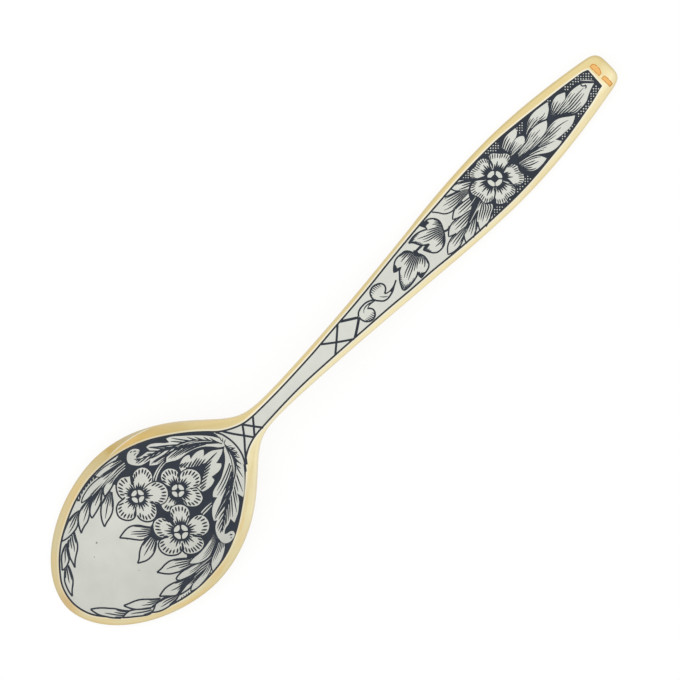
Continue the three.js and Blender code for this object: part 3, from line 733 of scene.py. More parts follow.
# %% Upper flower
UPPER = (-45.75, 5.35)
FLOWER = "bowl_flower_upper"
petal(FLOWER, UPPER, [(-48.05, 7), (-48.1, 7.7), (-47.8, 8.6), (-47.3, 9.3), (-46.7, 9.75), (-46.1, 9.9),
      (-45.4, 9.85), (-44.9, 9.55), (-44.4, 9.15), (-44.05, 8.95, 1), (-44.3, 8.55), (-44.8, 7.9),
      (-45, 7.5)], 2.4, spread=(0.14, 0.62), outline=OUTLINE)
petal(FLOWER, UPPER, [(-44.7, 7.4), (-44.2, 8.3), (-43.7, 8.75), (-43, 8.95), (-42.3, 8.9), (-41.6, 8.6),
      (-41.1, 8), (-40.95, 7.2), (-41.1, 6.4), (-41.5, 5.8), (-41.9, 5.45), (-44.2, 5.6)], 2.4,
      spread=(0.16, 0.68))
petal(FLOWER, UPPER, [(-47.5, 6.85), (-48, 6.85), (-49, 6.95), (-49.9, 6.6), (-50.5, 5.9), (-50.75, 5.2),
      (-50.6, 4.4), (-50.2, 3.7), (-49.6, 3.2), (-49, 3.05), (-48.4, 3.25), (-47.8, 3.85), (-47.3, 4.3)],
      2.5, spread=(0.24, 0.76), outline=OUTLINE)
petal(FLOWER, UPPER, [(-48.2, 3), (-48.35, 2.4), (-48.2, 1.6), (-47.8, 0.95), (-47.2, 0.5), (-46.6, 0.35),
      (-45.9, 0.5), (-45.2, 0.95), (-44.75, 1.6), (-44.55, 2.4), (-44.7, 3.1)], 2.5, spread=(0.14, 0.86),
      outline=OUTLINE)
petal(FLOWER, UPPER, [(-44.1, 5.5), (-43.2, 5.55), (-42.3, 5.35), (-41.5, 4.85), (-41.05, 4.1),
      (-40.9, 3.3), (-41.1, 2.4), (-41.6, 1.7), (-42.3, 1.25), (-43.1, 1.1), (-43.9, 1.4), (-44.4, 2),
      (-44.55, 2.9)], 2.5, spread=(0.28, 0.82))
eye(FLOWER, UPPER, 1.18, (97, 8, -81, 188), 0.38)
tell("the upper flower")

# %% Lower flower
LOWER = (-44.8, -4.65)
FLOWER = "bowl_flower_lower"
petal(FLOWER, LOWER, [(-47, -3.55), (-47.9, -3), (-48.3, -2.1), (-48.15, -1.2), (-47.7, -0.5), (-47.1, 0),
      (-46.5, 0.1), (-45.6, -0.2), (-45.1, -0.9), (-44.95, -1.8), (-45.05, -2.9)], 2.7, spread=(0.14, 0.76),
      outline=0.16)
petal(FLOWER, LOWER, [(-44.6, -2.9), (-44.3, -1.8), (-43.85, -0.95), (-43.2, -0.4), (-42.6, -0.35),
      (-42.0, -0.6), (-41.45, -1), (-41.0, -1.7), (-40.9, -2.5), (-41.3, -3.4), (-42.0, -4), (-42.9, -4.4)],
      2.6, spread=(0.2, 0.8), outline=0.16)
petal(FLOWER, LOWER, [(-46.1, -6.4), (-46.9, -7.1), (-47, -7.85), (-46.6, -8.6), (-46.0, -9.1),
      (-45.4, -9.4), (-44.7, -9.55), (-44, -9.5), (-43.3, -9.15), (-42.95, -8.5), (-42.9, -7.95),
      (-43.4, -7.2), (-43.8, -6.6)], 2.6, spread=(0.18, 0.74), outline=OUTLINE)
petal(FLOWER, LOWER, [(-47.0, -3.7), (-47.8, -3.25), (-48.5, -3.05), (-49.3, -3.4), (-49.7, -4.1),
      (-49.8, -4.8), (-49.65, -5.5), (-49.2, -6.25), (-48.7, -6.7), (-48.05, -7.1), (-47.2, -7.15),
      (-46.5, -6.75), (-46.1, -6.2)], 2.6, spread=(0.26, 0.8), outline=OUTLINE)
petal(FLOWER, LOWER, [(-43.2, -4.6), (-42.2, -4.35), (-41.4, -4.35), (-40.7, -4.55), (-40.1, -5),
      (-39.8, -5.6), (-39.8, -6.3), (-40, -7), (-40.5, -7.6), (-41.2, -8.0), (-42, -8.05), (-42.8, -7.7),
      (-43.3, -7), (-43.6, -6.4)], 2.6, spread=(0.3, 0.8), outline=0.16)
eye(FLOWER, LOWER, 1.32, (97, 4, -86, 186), 0.44)
tell("the lower flower")

# %% Leaf pair
PAIR = "bowl_leaf_pair"
cut(PAIR, [(-49.8, -1.3), (-48.9, -0.6), (-48.0, -0.1), (-48.3, -1.2), (-48.35, -2.4), (-49, -2.9),
    (-49.8, -2.2)])
leaf(PAIR, (-53.35, 2.4), [(-52.5, 2.55), (-51.5, 2.65), (-50.6, 2.5), (-49.9, 2.1), (-49.2, 1.4),
     (-48.6, 0.5), (-48.1, -0.15)], [(-52.8, 1.8), (-52.1, 0.9), (-51.5, 0.1), (-50.9, -0.6), (-50.3, -1),
     (-49.7, -1.2), (-48.9, -1.0)], ((0.25, 0.62), (0.42, 0.45), (0.55, 0.28), (0.7, 0.5), (0.85, 0.7)))
leaf(PAIR, (-54.3, -3.1), [(-53.5, -2.7), (-52.8, -2.1), (-52, -1.6), (-51.2, -1.3), (-50.2, -1.2),
     (-49.2, -1.3)], [(-53.6, -3.5), (-52.9, -3.85), (-52, -4), (-51.1, -3.9), (-50.3, -3.6), (-49.7, -3.2),
     (-49.2, -2.8)], ((0.2, 0.66), (0.35, 0.5), (0.5, 0.4), (0.64, 0.5), (0.8, 0.66)))
tell("the pair of leaves")

# %% [markdown]
# ### Sprays along the border
# Each spray is a chain of leaves whose bases sink into the next leaf, so the strokes crowd and darken
# there. The last leaves run into a plume beside the flowers.

# %% Upper spray
SPRAY = "bowl_spray_upper"
DARK_BASE = ((0.15, 0.72), (0.28, 0.5), (0.42, 0.62), (0.55, 0.3), (0.68, 0.66), (0.8, 0.5), (0.9, 0.75))
MID_VEIN = ((0.22, 0.7), (0.38, 0.5), (0.5, 0.25), (0.64, 0.45), (0.8, 0.72))
leaf(SPRAY, (-66.85, 1.0), [(-66.7, 2), (-66.3, 3.1), (-65.9, 3.9), (-65.2, 4.6), (-64.4, 5.3)],
     [(-66.0, 1.9), (-65.2, 2.5), (-64.6, 3.1), (-64.1, 3.9), (-63.7, 4.7), (-63.4, 5.5)], DARK_BASE)
leaf(SPRAY, (-62.85, 4.3), [(-62.5, 5.3), (-62.2, 6.2), (-61.7, 7.0), (-61.0, 8.0), (-60.2, 8.6)],
     [(-61.9, 5.2), (-61, 5.8), (-60.2, 6.3), (-59.5, 7), (-59, 7.9), (-58.4, 8.9)], DARK_BASE)
leaf(SPRAY, (-64.85, 5.6), [(-64.2, 6.3), (-63.4, 7.2), (-62.6, 7.8), (-61.8, 8.2), (-60.8, 8.4)],
     [(-64, 5.5), (-63.3, 5.7), (-62.6, 6.05), (-62.2, 6.7), (-61.7, 7.4), (-60.8, 8.3)], MID_VEIN)
leaf(SPRAY, (-61.2, 9.35), [(-60.2, 10), (-59, 10.55), (-57.8, 11), (-56.5, 11.2), (-55, 10.95)],
     [(-60.3, 9.05), (-59.3, 8.95), (-58.3, 9), (-57.3, 9.25), (-56.6, 9.7), (-55.8, 10.4), (-55, 10.9)],
     ((0.15, 0.6), (0.3, 0.35), (0.45, 0.5), (0.58, 0.25), (0.7, 0.45), (0.8, 0.6), (0.9, 0.66)))
leaf(SPRAY, (-57.65, 7.85), [(-57.3, 8.6), (-56.8, 9.4), (-56.2, 10.1), (-55.5, 10.6), (-54.5, 11),
     (-53, 11.2), (-50, 11.2)], [(-56.9, 8.2), (-56.2, 8.4), (-55.4, 8.55), (-54.7, 8.9), (-54.1, 9.3),
     (-53.2, 10.1), (-51, 10.8)], ((0.2, 0.55), (0.35, 0.42), (0.5, 0.2), (0.65, 0.35), (0.8, 0.5)))
leaf(SPRAY, (-54.35, 8.4), [(-54.2, 9), (-53.5, 9.8), (-52.5, 10.4), (-51, 10.8), (-48.5, 11.1)],
     [(-53.5, 8.55), (-52.5, 8.8), (-51.6, 9.1), (-50.9, 9.5), (-50.3, 10), (-49.6, 10.5), (-48.5, 10.9)],
     ((0.2, 0.5), (0.36, 0.42), (0.5, 0.32), (0.65, 0.42), (0.8, 0.6)))
leaf(SPRAY, (-53.85, 5.7), [(-53.6, 6.4), (-53, 7.4), (-52.2, 8.3), (-51.4, 8.9), (-50.6, 9.2),
     (-49.5, 9.5), (-48.6, 9.6)], [(-53, 6), (-52, 6.2), (-51, 6.6), (-50.2, 7.2), (-49.6, 7.8),
     (-49.1, 8.5), (-48.5, 9.2)], ((0.2, 0.66), (0.36, 0.5), (0.5, 0.28), (0.62, 0.5), (0.75, 0.62)))
tell("the upper spray")

# %% Upper plume
cut(SPRAY, edge([
    (-54.2, 12.5), (-52, 13.2), (-50, 13.55), (-48.6, 13.6, 1), (-48.3, 12.9, 1), (-50.3, 13.05),
    (-52.6, 12.7), (-53.8, 12.1, 1), (-54.2, 12.5)])[:-1])
for index in range(7):
    x = -53.7 + 0.72 * index
    y = 12.45 + 0.1 * index
    bright([(x, y), (x + 0.15, y + 0.2), (x + 0.38, y + 0.42)], 0.17)
cut(SPRAY, edge([
    (-53.5, 11.25), (-51, 11.5), (-48, 12.2), (-45, 12.6), (-43.0, 13.0, 1), (-42.9, 11), (-43, 10.3, 1),
    (-46.4, 10.2), (-48, 10.9), (-50, 11.1), (-53.5, 11.25)])[:-1])
leaf(SPRAY, (-53.8, 11.7), [(-53.1, 12.15), (-51.8, 12.55), (-50.2, 12.75), (-48.5, 12.6), (-45.5, 11.9)],
     [(-52.9, 11.45), (-51.4, 11.4), (-49.3, 11.25), (-47, 11.1), (-45, 11.2)],
     ((0.3, 0.75), (0.5, 0.6), (0.68, 0.4), (0.84, 0.3)), outline=0.24)
leaf(SPRAY, (-48.6, 13.4), [(-46.5, 13.35), (-44.9, 13.0), (-43.8, 12.6), (-43.2, 12.2)],
     [(-48.4, 12.8), (-47, 12.35), (-45.5, 12.0), (-43.4, 11.7)],
     ((0.4, 0.75), (0.5, 0.55), (0.64, 0.4), (0.78, 0.3), (0.9, 0.2)), outline=0.2)
leaf(SPRAY, (-50, 9.5), [(-49.6, 10.3), (-49.2, 10.7), (-48.6, 10.95), (-47.5, 11.0), (-45.6, 10.9)],
     [(-49, 9.6), (-48, 9.8), (-47, 10.1), (-45.8, 10.35)],
     ((0.3, 0.55), (0.55, 0.5), (0.8, 0.6)))
bright([(-51.5, 11.25), (-49, 11.4), (-46.5, 11.55), (-43.2, 11.25)], 0.2, (0.3, 1, 1, 0.7))
for way, width in (
        ([(-47, 10.45), (-45.5, 10.65), (-43.8, 10.55)], 0.18),
        ([(-48.4, 10.95), (-46.2, 11.05), (-43.4, 10.9)], 0.16),
        ([(-49.2, 11.05), (-47.2, 11.25), (-44.4, 11.5)], 0.15)):
    bright(way, width, (0.4, 1, 0.7))
tell("the upper plume")

# %% Lower spray
SPRAY = "bowl_spray_lower"
leaf(SPRAY, (-66.2, -2.95), [(-65.4, -3.5), (-64.5, -4.3), (-63.7, -5.2), (-63, -6), (-62.5, -6.8),
     (-62, -7.5), (-61.5, -8.1)], [(-66.05, -4), (-65.7, -5), (-65.2, -5.8), (-64.6, -6.7), (-64, -7.4),
     (-63.4, -8)], DARK_BASE)
leaf(SPRAY, (-63.2, -8.1), [(-62.3, -8), (-61.5, -8.1), (-60.8, -8.5), (-60, -9.1), (-59, -9.8),
     (-58.3, -10.4)], [(-62.3, -8.9), (-61.3, -9.7), (-60.3, -10.5), (-59.5, -11), (-58.7, -11.2)],
     MID_VEIN)
leaf(SPRAY, (-61.5, -6.7), [(-60.6, -7.1), (-59.6, -7.5), (-58.7, -8), (-57.9, -8.7), (-57.2, -9.4),
     (-55.9, -10.5)], [(-61.2, -7.5), (-60.7, -8.4), (-60.2, -9), (-59.6, -9.5), (-58.9, -10),
     (-58.2, -10.5), (-57.2, -10.65), (-56, -10.75)], DARK_BASE)
leaf(SPRAY, (-58.8, -11.15), [(-57.9, -10.9), (-57.3, -10.6), (-56.5, -10.7), (-55.3, -10.9), (-54, -11.7),
     (-53.2, -12.3)], [(-58, -11.8), (-57.2, -12.2), (-56.2, -12.5), (-55.2, -12.65), (-54.2, -12.65),
     (-53.2, -12.4)], ((0.2, 0.5), (0.34, 0.4), (0.5, 0.3), (0.65, 0.4), (0.8, 0.5)))
cut(SPRAY, edge([
    (-53.2, -11.3), (-50, -11.6), (-47, -11.6), (-44, -11.2), (-41.2, -10.2, 1), (-41.2, -12.3, 1),
    (-44, -12.9), (-47, -12.9), (-50, -12.7), (-53.2, -12.4, 1), (-53.2, -11.3)])[:-1])
leaf(SPRAY, (-55.8, -10.1), [(-55, -9.9), (-54, -9.8), (-53, -9.95), (-52.2, -10.2), (-51.2, -10.7),
     (-49, -11.5)], [(-55.1, -10.7), (-54.3, -11.5), (-53.5, -12.1), (-52.4, -12.0), (-50.8, -11.8)],
     ((0.25, 0.6), (0.42, 0.45), (0.56, 0.35), (0.7, 0.5), (0.85, 0.6)))
leaf(SPRAY, (-53.3, -12.35), [(-52, -12.2), (-50.5, -12.05), (-48.5, -12.2)],
     [(-52, -12.75), (-50.5, -12.95), (-48.5, -12.6)], ((0.35, 0.6), (0.65, 0.6)))
leaf(SPRAY, (-51.5, -10.05), [(-51, -9.85), (-50.2, -9.8), (-49.3, -9.9), (-48.5, -10.1), (-47.6, -10.4),
     (-46, -11), (-44, -11.4)], [(-51.2, -10.6), (-50.4, -11), (-49, -11.5), (-47, -11.7), (-44, -11.6)],
     ((0.3, 0.6), (0.5, 0.45), (0.7, 0.35), (0.85, 0.5)), width=0.18)
leaf(SPRAY, (-53, -6.7), [(-52, -6.8), (-51, -6.75), (-50, -6.9), (-49.2, -7.3), (-48.4, -7.9),
     (-47.7, -8.5), (-46.9, -9.3)], [(-52.6, -7.3), (-52.1, -8), (-51.4, -8.7), (-50.6, -9.2),
     (-49.9, -9.6), (-49, -10), (-47.7, -10.3)],
     ((0.16, 0.6), (0.3, 0.5), (0.42, 0.25), (0.56, 0.4), (0.7, 0.55), (0.84, 0.66)))
tell("the lower spray")

# %% Lower plume
leaf(SPRAY, (-47.9, -9.65), [(-46.8, -9.5), (-45.1, -9.65), (-43.2, -9.5), (-41.7, -9.2), (-41, -9.0)],
     [(-47.1, -10.5), (-45.7, -11.25), (-44.2, -11.4), (-42.8, -10.95), (-41.1, -10.1)],
     ((0.2, 0.85), (0.35, 0.65), (0.5, 0.42), (0.65, 0.34), (0.8, 0.4), (0.94, 0.6)),
     outline=0.22, width=0.16)
leaf(SPRAY, (-51.2, -13.4), [(-50.1, -12.8), (-48.5, -12.55), (-47.1, -12.5), (-45.9, -12.2), (-45, -11.9)],
     [(-50.3, -13.75), (-48.5, -13.85), (-46.8, -13.6), (-46, -13.35), (-45.1, -12.6)],
     ((0.1, 0.3), (0.25, 0.4), (0.42, 0.5), (0.6, 0.7), (0.8, 0.85)), outline=0.2, width=0.17)
leaf(SPRAY, (-45.9, -13.75), [(-45.4, -12.9), (-44.4, -11.9), (-43.4, -11.45), (-42.2, -11.0),
     (-41.5, -10.6)], [(-44.7, -13.65), (-43.4, -13.4), (-42, -12.8), (-40.7, -11.85)],
     ((0.1, 0.3), (0.25, 0.35), (0.4, 0.5), (0.55, 0.65), (0.75, 0.85)), outline=0.2, width=0.17)
for way in ([(-45.2, -12.2), (-46.6, -11.9), (-48.2, -11.75)],
            [(-45.6, -12.35), (-47.2, -12.2), (-49, -12.1)],
            [(-44.2, -11.75), (-45.8, -11.6), (-47.4, -11.4)]):
    bright(way, 0.14, (0.4, 1, 0.4))
for x, y in ((-53.4, -13.1), (-52.9, -13.2), (-52.4, -13.3), (-51.9, -13.35), (-46.6, -13.6)):
    flick(SPRAY, (x, y - 0.35), (x + 0.35, y + 0.2), 0.24, 0, SPINDLE)
tell("the lower plume")

# %% [markdown]
# ## Neck and stem
# An arc closes the bowl's field at the heel. Behind it two crossing bands make an open lattice on the
# neck, the stem stays bare, and a second lattice leads into a scroll of two curled tendrils.

# %% Heel arc and lattices
line("heel_arc", [(-27.82, 3.52), (-27.32, 2.72), (-26.97, 1.42), (-26.82, 0.22), (-26.87, -1.08),
     (-27.12, -2.28), (-27.62, -3.48), (-28.22, -4.38), (-28.92, -5.28)], 0.33)
NECK_BANDS = [
    [(-26.82, 2.92), (-25.72, 1.12), (-24.57, -0.48), (-23.52, -1.98)],
    [(-27.92, -4.48), (-26.42, -2.58), (-24.57, -0.48), (-23.42, 1.07)],
    [(-23.32, 1.07), (-22.17, -0.53), (-21.12, -1.93)],
    [(-23.42, -1.98), (-22.17, -0.53), (-21.02, 0.82)],
]
for points in NECK_BANDS:
    line("neck_lattice", points, 0.4)
STEM_BANDS = [
    [(-3.2, 1.3), (-1, -0.4), (1.7, -2.25)],
    [(-2.8, -1.9), (-1, -0.4), (1.4, 1.7)],
    [(2.1, 1.75), (3.6, 0.8), (5, -0.1)],
    [(1.9, -2.2), (3.5, -1.2), (5, -0.15)],
]
for points, width in zip(STEM_BANDS, (0.4, 0.4, 0.5, 0.5)):
    line("stem_lattice", points, width)
tell("the heel arc and both lattices")

# %% Tendril scroll
SCROLL = "tendril_scroll"
line(SCROLL, [(5.1, 0), (5.5, 0.5), (6.2, 0.8), (7, 0.9), (7.8, 0.85), (8.5, 0.6), (9, 0.3), (9.4, -0.1)],
     0.32)
line(SCROLL, [(5.1, -0.1), (5.05, -0.7), (5.3, -1.4), (5.8, -1.9), (6.5, -2.15), (7.2, -2), (7.7, -1.5),
     (7.85, -0.9), (7.6, -0.4), (7.3, -0.1)], 0.32)
line(SCROLL, [(7.1, -0.15), (7.8, 0.1), (8.5, 0.1), (9.2, -0.05)], 0.24, (0.4, 1, 1))
line(SCROLL, [(6.2, -0.2), (6.8, 0.3), (7.6, 0.4), (8.4, 0.25)], 0.22, (0.4, 1, 1))
cut(SCROLL, [(7.8, 0.25), (8.6, 0.3), (9.3, 0.0), (8.6, 0.0)])
line(SCROLL, [(9.2, 0.1), (9.2, 0.9), (9.5, 1.5), (10, 1.85), (10.7, 2), (11.5, 1.8), (12.1, 1.4),
     (12.35, 0.8), (12.2, 0.3), (11.8, -0.1), (11.3, -0.35)], 0.32)
line(SCROLL, [(9.3, -0.1), (9.7, -0.6), (10.3, -1.2), (11, -1.4), (11.9, -1.3), (12.7, -1.05), (13.5, -0.6),
     (14.5, -0.1)], 0.32)
line(SCROLL, [(11.3, -0.4), (11.9, -0.65), (12.6, -0.7), (13.4, -0.55), (14.4, -0.15)], 0.24)
line(SCROLL, [(10.3, -0.1), (10.8, -0.7), (11.4, -1.1)], 0.2, HAIR)
cut(SCROLL, [(12.2, -0.75), (13.2, -0.65), (14.3, -0.15), (13.3, -0.8), (12.4, -1.05)])
for index in range(7):
    swell = math.sin(math.pi * (index + 0.8) / 7.6)
    start = np.array([5.45 + 0.34 * index, -1.55 - 0.55 * swell])
    flick(SCROLL, start, start + (0.5 + 0.5 * swell) * np.array([-0.3, 0.95]), 0.22)
    start = np.array([9.4 + 0.38 * index, 1.3 + 0.68 * swell])
    flick(SCROLL, start, start + (0.5 + 0.45 * swell) * np.array([0.14, -0.99]), 0.22)
tell("the tendril scroll")

# %% [markdown]
# ## The handle's ornament
# Two ivy leaves climb to an acanthus leaf, a five-petalled flower, a second acanthus and a pointed leaf at
# the end. Past the first acanthus the ground is dark and punched with a net of small bright dots. The
# ground is one broad cut, clipped by the panel, and leaves and dots are left standing in it.

# %% Lower ivy leaf
IVY = "ivy_leaf_lower"
LOWER_IVY = [
    (14.1, -2.15, 1), (14.4, -1.5), (14.85, -0.7), (15.5, 0), (16.2, 0.7), (16.8, 0.9, 1), (15.7, 0.95),
    (15.2, 1.15, 1), (15.5, 1.5), (16.1, 2), (16.7, 2.4), (17.5, 2.6), (18.4, 2.55), (19.3, 2.4),
    (19.8, 1.9), (20.1, 1.3), (20.5, 0.6), (20.9, 0), (21.1, -0.7), (21, -1.5), (20.8, -2.1), (20.3, -2.6),
    (19.5, -2.85), (18.7, -2.95), (18, -3.05, 1), (18, -2.5), (18.3, -1.8, 1), (17.7, -2.2), (17, -2.4),
    (16.2, -2.55), (15.2, -2.6), (14.3, -2.5, 1), (14.1, -2.15),
]
line(IVY, LOWER_IVY, 0.3)
MIDDLE_LOBE = ((0.08, 0.66), (0.3, 0.46), (0.5, 0.28), (0.7, 0.42), (0.92, 0.68))
SIDE_LOBE = ((0.1, 0.68), (0.5, 0.52), (0.9, 0.68))


def lobe(name, tip, upper, lower, stops, share):
    """Strokes from a lobe's base, and short ones from both sides of its tip that run inwards."""
    hatch(name, tip, upper, lower, stops)
    heart = (2 * np.array(tip) + np.array(upper[-1]) + np.array(lower[-1])) / 4
    for side in (upper, lower):
        outline = edge([tip] + side)
        for place in np.arange(0.03, share, 0.05):
            start = at(outline, place)
            length = (0.35 + 0.6 * (1 - place / share)) * hand.uniform(0.85, 1.15)
            flick(name, start, start + length * unit(heart - start))


lobe(IVY, (14.15, -2.3), [(14.85, -0.7), (16.2, 0.7), (16.8, 0.9), (18.5, 1.1), (20.2, 1.3)],
     [(15.2, -2.6), (17, -2.4), (18.3, -1.8), (19.3, -0.9), (20.8, -0.2)], MIDDLE_LOBE, 0.4)
lobe(IVY, (15.2, 1.15), [(16.1, 2), (16.7, 2.4), (17.5, 2.6), (18.6, 2.5), (19.5, 2.3)],
     [(15.7, 0.95), (16.8, 0.9), (18.5, 1.1), (20.2, 1.3)], SIDE_LOBE, 0.24)
lobe(IVY, (18, -3.05), [(18, -2.5), (18.3, -1.8), (19.3, -0.9), (20.8, -0.2)],
     [(19.5, -2.85), (20.3, -2.6), (20.9, -1.9), (21.05, -1.2)], SIDE_LOBE, 0.24)
cut(IVY, [(15.2, 1.15), (15.6, 1.5), (16.0, 1.4), (16.3, 1.05), (15.7, 0.9)])
line(IVY, [(20.4, 1.0), (21.3, 1.02), (22.2, 1.0)], 0.46)
cut(IVY, [(19.9, 0.9), (20.5, 1.5), (20.9, 1.0), (20.75, 0.2), (20.9, -0.6), (20.2, 0.2)])
tell("the lower ivy leaf")

# %% Upper ivy leaf
IVY = "ivy_leaf_upper"
UPPER_IVY = [
    (20.75, 2.95, 1), (21.5, 3.1), (22.3, 3.2), (23.2, 3.1), (24, 2.85), (24.6, 2.55), (24.9, 2.4, 1),
    (25.1, 3.2), (25.5, 3.6, 1), (26.3, 3.5), (26.9, 3.1), (27.4, 2.4), (27.5, 1.8), (27.3, 1.1), (27, 0.5),
    (26.8, 0.1), (26.5, -0.4), (26.1, -0.9), (25.5, -1.5), (24.6, -1.9), (23.9, -1.95), (23.2, -1.8),
    (22.7, -1.4), (22.3, -0.8), (22, -0.2), (21.8, 0.2, 1), (22.3, 0.4), (23.4, 0.2, 1), (22.7, 0.6),
    (22.2, 1), (21.9, 1.5), (21.6, 2.1), (21.2, 2.7), (20.75, 2.95),
]
line(IVY, UPPER_IVY, 0.3)
cut(IVY, [(24.2, 3.95), (25.6, 3.95), (25.6, 3.6), (25.15, 3.2), (24.9, 2.5), (24.6, 3.2)])
lobe(IVY, (20.75, 2.95), [(22.3, 3.2), (24, 2.85), (24.9, 2.4), (25.9, 1.8), (27.1, 1.0)],
     [(21.6, 2.1), (22.2, 1), (23.4, 0.2), (25, 0.0), (26.5, -0.4)], MIDDLE_LOBE, 0.34)
lobe(IVY, (25.4, 3.5), [(26.3, 3.5), (26.9, 3.1), (27.4, 2.4), (27.5, 1.9)],
     [(25.1, 3.2), (24.9, 2.4), (25.9, 1.8), (27.1, 1.0)], SIDE_LOBE, 0.16)
lobe(IVY, (21.8, 0.2), [(23.4, 0.2), (25, 0.0), (26.5, -0.4)],
     [(22.3, -0.8), (23.2, -1.8), (24.6, -1.9), (25.4, -1.5), (26.0, -1.0)], SIDE_LOBE, 0.24)
line(IVY, [(26.8, -0.05), (27.6, -0.3), (28.2, -0.1)], 0.4)
tell("the upper ivy leaf")

# %% Lower acanthus
LEAF = "handle_leaf_lower"
ACANTHUS_LINES = [
    [(27.7, 3.95), (28.4, 3.1), (29, 2.2), (29.6, 1.75), (30.3, 1.5), (31, 1.45), (33, 1.45)],
    [(31.2, 4.2), (32.5, 3.7), (33.3, 3.4), (34, 3.1)], [(33.1, 4.4), (33.5, 3.5), (34, 3.1)],
    [(34.0, 4.5), (35, 4.2), (36, 3.6), (36.9, 2.8)],
    [(31, 1.45), (30, 0.9), (29.4, 0.4, 1), (30, 0), (30.8, -0.25)],
    [(29.9, -0.05), (28.5, -0.1), (27.9, -0.3), (27.3, -0.7), (26.7, -1.3, 1), (27.4, -1.65), (28.1, -1.85)],
    [(28, -1.8), (26.4, -1.95), (25.7, -2.2), (25, -2.7), (24.35, -3.5, 1), (25.3, -3.85), (26.2, -3.95),
     (27.2, -3.85), (28, -3.55), (28.8, -3.15)],
    [(28.1, -4.5), (28.3, -3.9), (28.8, -3.15)], [(29.7, -4.6), (30.5, -4.2), (31.3, -3.8), (32.3, -3.1)],
    [(31.4, -4.7), (31.7, -4), (32.3, -3.1)], [(32.7, -4.8), (34, -4.4), (35, -4), (36.6, -3.1)],
]
for points in ACANTHUS_LINES:
    line(LEAF, points, 0.27)
cut(LEAF, edge([(36.8, 2.9), (35.3, 2.2), (34.4, 1.2), (33.9, 0.1), (32.6, -0.9), (31.5, -1.6),
    (29.4, -2.3, 1), (30.0, -2.6), (32.2, -2.1), (34.2, -1.4), (35.6, -1.3), (36.6, -2.8, 1), (37, 0),
    (36.8, 2.9)])[:-1])
LOBES = [
    ((24.35, -3.5), [(25, -2.7), (26.4, -1.95), (28, -1.85), (30.2, -2.1)],
     [(26.2, -3.95), (28, -3.55), (30.2, -2.5)]),
    ((28.1, -4.5), [(28.8, -3.15), (30.5, -2.4), (33, -1.7)],
     [(29.7, -4.6), (31.3, -3.8), (33.0, -2.4), (34, -1.7)]),
    ((31.4, -4.7), [(32.3, -3.1), (33.6, -2.1), (35.2, -1.3)],
     [(32.7, -4.8), (35, -4), (36.6, -3.1), (36.2, -1.6)]),
    ((26.7, -1.3), [(27.9, -0.3), (29.9, -0.05), (33.4, -0.8)], [(28.1, -1.85), (30.5, -1.9), (32.5, -1.4)]),
    ((29.4, 0.4), [(31, 1.45), (32.8, 1.45), (35.0, 1.0)], [(30.8, -0.25), (32.6, -0.4), (34.4, -0.2)]),
    ((27.7, 3.95), [(30.5, 4.3), (32.5, 3.7), (34, 3.1), (35.6, 2.1)],
     [(29, 2.2), (31, 1.45), (33, 1.6), (35.3, 1.6)]),
    ((33.1, 4.4), [(35, 4.2), (36, 3.6), (36.9, 2.8)], [(33.5, 3.5), (34.6, 2.8), (36.2, 2.4)]),
]
ACANTHUS_STOPS = ((0.1, 0.42), (0.35, 0.34), (0.5, 0.45), (0.7, 0.32), (0.9, 0.45))
for tip, upper, lower in LOBES:
    hatch(LEAF, tip, upper, lower, ACANTHUS_STOPS)
for way in ([(35.2, 0.3), (33.6, 0.0), (31.9, -0.1)], [(35.3, -0.8), (33.5, -1.5), (31.2, -2.2)]):
    bright(way, 0.14, HAIR)
tell("the lower acanthus")

# %% Dotted ground
FLOWER = "handle_flower_lines"
inner_panel = ring(panel, BORDER_WIDTH * 0.5)
cut(FLOWER, [(34.7, 5.4), (35.3, 4.4), (36.0, 3.75), (36.8, 2.85), (35.5, 2), (35.2, 0), (35.6, -2),
    (36.4, -2.7), (36.4, -3.2), (35.4, -3.8), (34.8, -4.4), (34.2, -5.4), (45, -5.4), (45, 5.4)],
    within=inner_panel)
dots([(35.5, 4.55), (38.0, 4.6), (37.4, 4.3), (36.8, 3.6), (36.9, 3.1), (36.2, 3.8)], 0.42)
dots([(41.4, 4.65), (45.6, 4.6), (45.2, 3.9), (44.4, 3.3), (43.6, 3.4), (43, 4.1), (42, 4.2)], 0.45)
dots([(35.0, -4.7), (46.2, -4.6), (45.6, -4.0), (44.7, -3.0), (44.3, -3.3), (43.2, -4.2), (41.7, -3.7),
     (40.6, -4.5), (39.2, -4.3), (37.8, -4.4), (36.9, -3.4), (36.0, -3.7)], 0.46)
tell("the dotted ground")

# %% Handle flower
HANDLE = (39.95, 0.2)
CRISP = {"inner": 1.5, "gap": 0.1, "outline": 0.17, "dash": 0.22, "stretch": 1.35}
petal(FLOWER, HANDLE, [(41.4, 2.1), (41.7, 3), (41.75, 3.6), (42.2, 3.9), (42.8, 3.8), (43.4, 3.2),
      (44, 2.5), (44.6, 2), (44.85, 1.4), (44.6, 0.85), (43.9, 0.5), (43, 0.4), (42.2, 0.3), (41.6, 0.25)],
      2.9, spread=(0.14, 0.7), **CRISP)
petal(FLOWER, HANDLE, [(41.7, -0.2), (42.3, 0), (43, 0.15), (43.7, 0.05), (44.3, -0.5), (44.5, -1.1),
      (44.2, -1.7), (44.05, -2.3), (44.2, -2.9), (43.8, -3.5), (43.1, -3.95), (42.3, -3.8), (41.6, -3.4),
      (41.55, -2.7), (41.6, -2), (41.5, -1.3)], 2.9, spread=(0.22, 0.76), **CRISP)
petal(FLOWER, HANDLE, [(39.1, 1.75), (38.3, 2.1), (37.6, 2.5), (37.05, 3.1), (37.1, 3.8), (37.7, 4.2),
      (38.4, 4.3), (39, 4.2), (39.6, 4.5), (40.3, 4.55), (41, 4.3), (41.45, 3.7), (41.5, 3), (41.25, 2.3),
      (41, 1.8)], 2.9, spread=(0.2, 0.84), **CRISP)
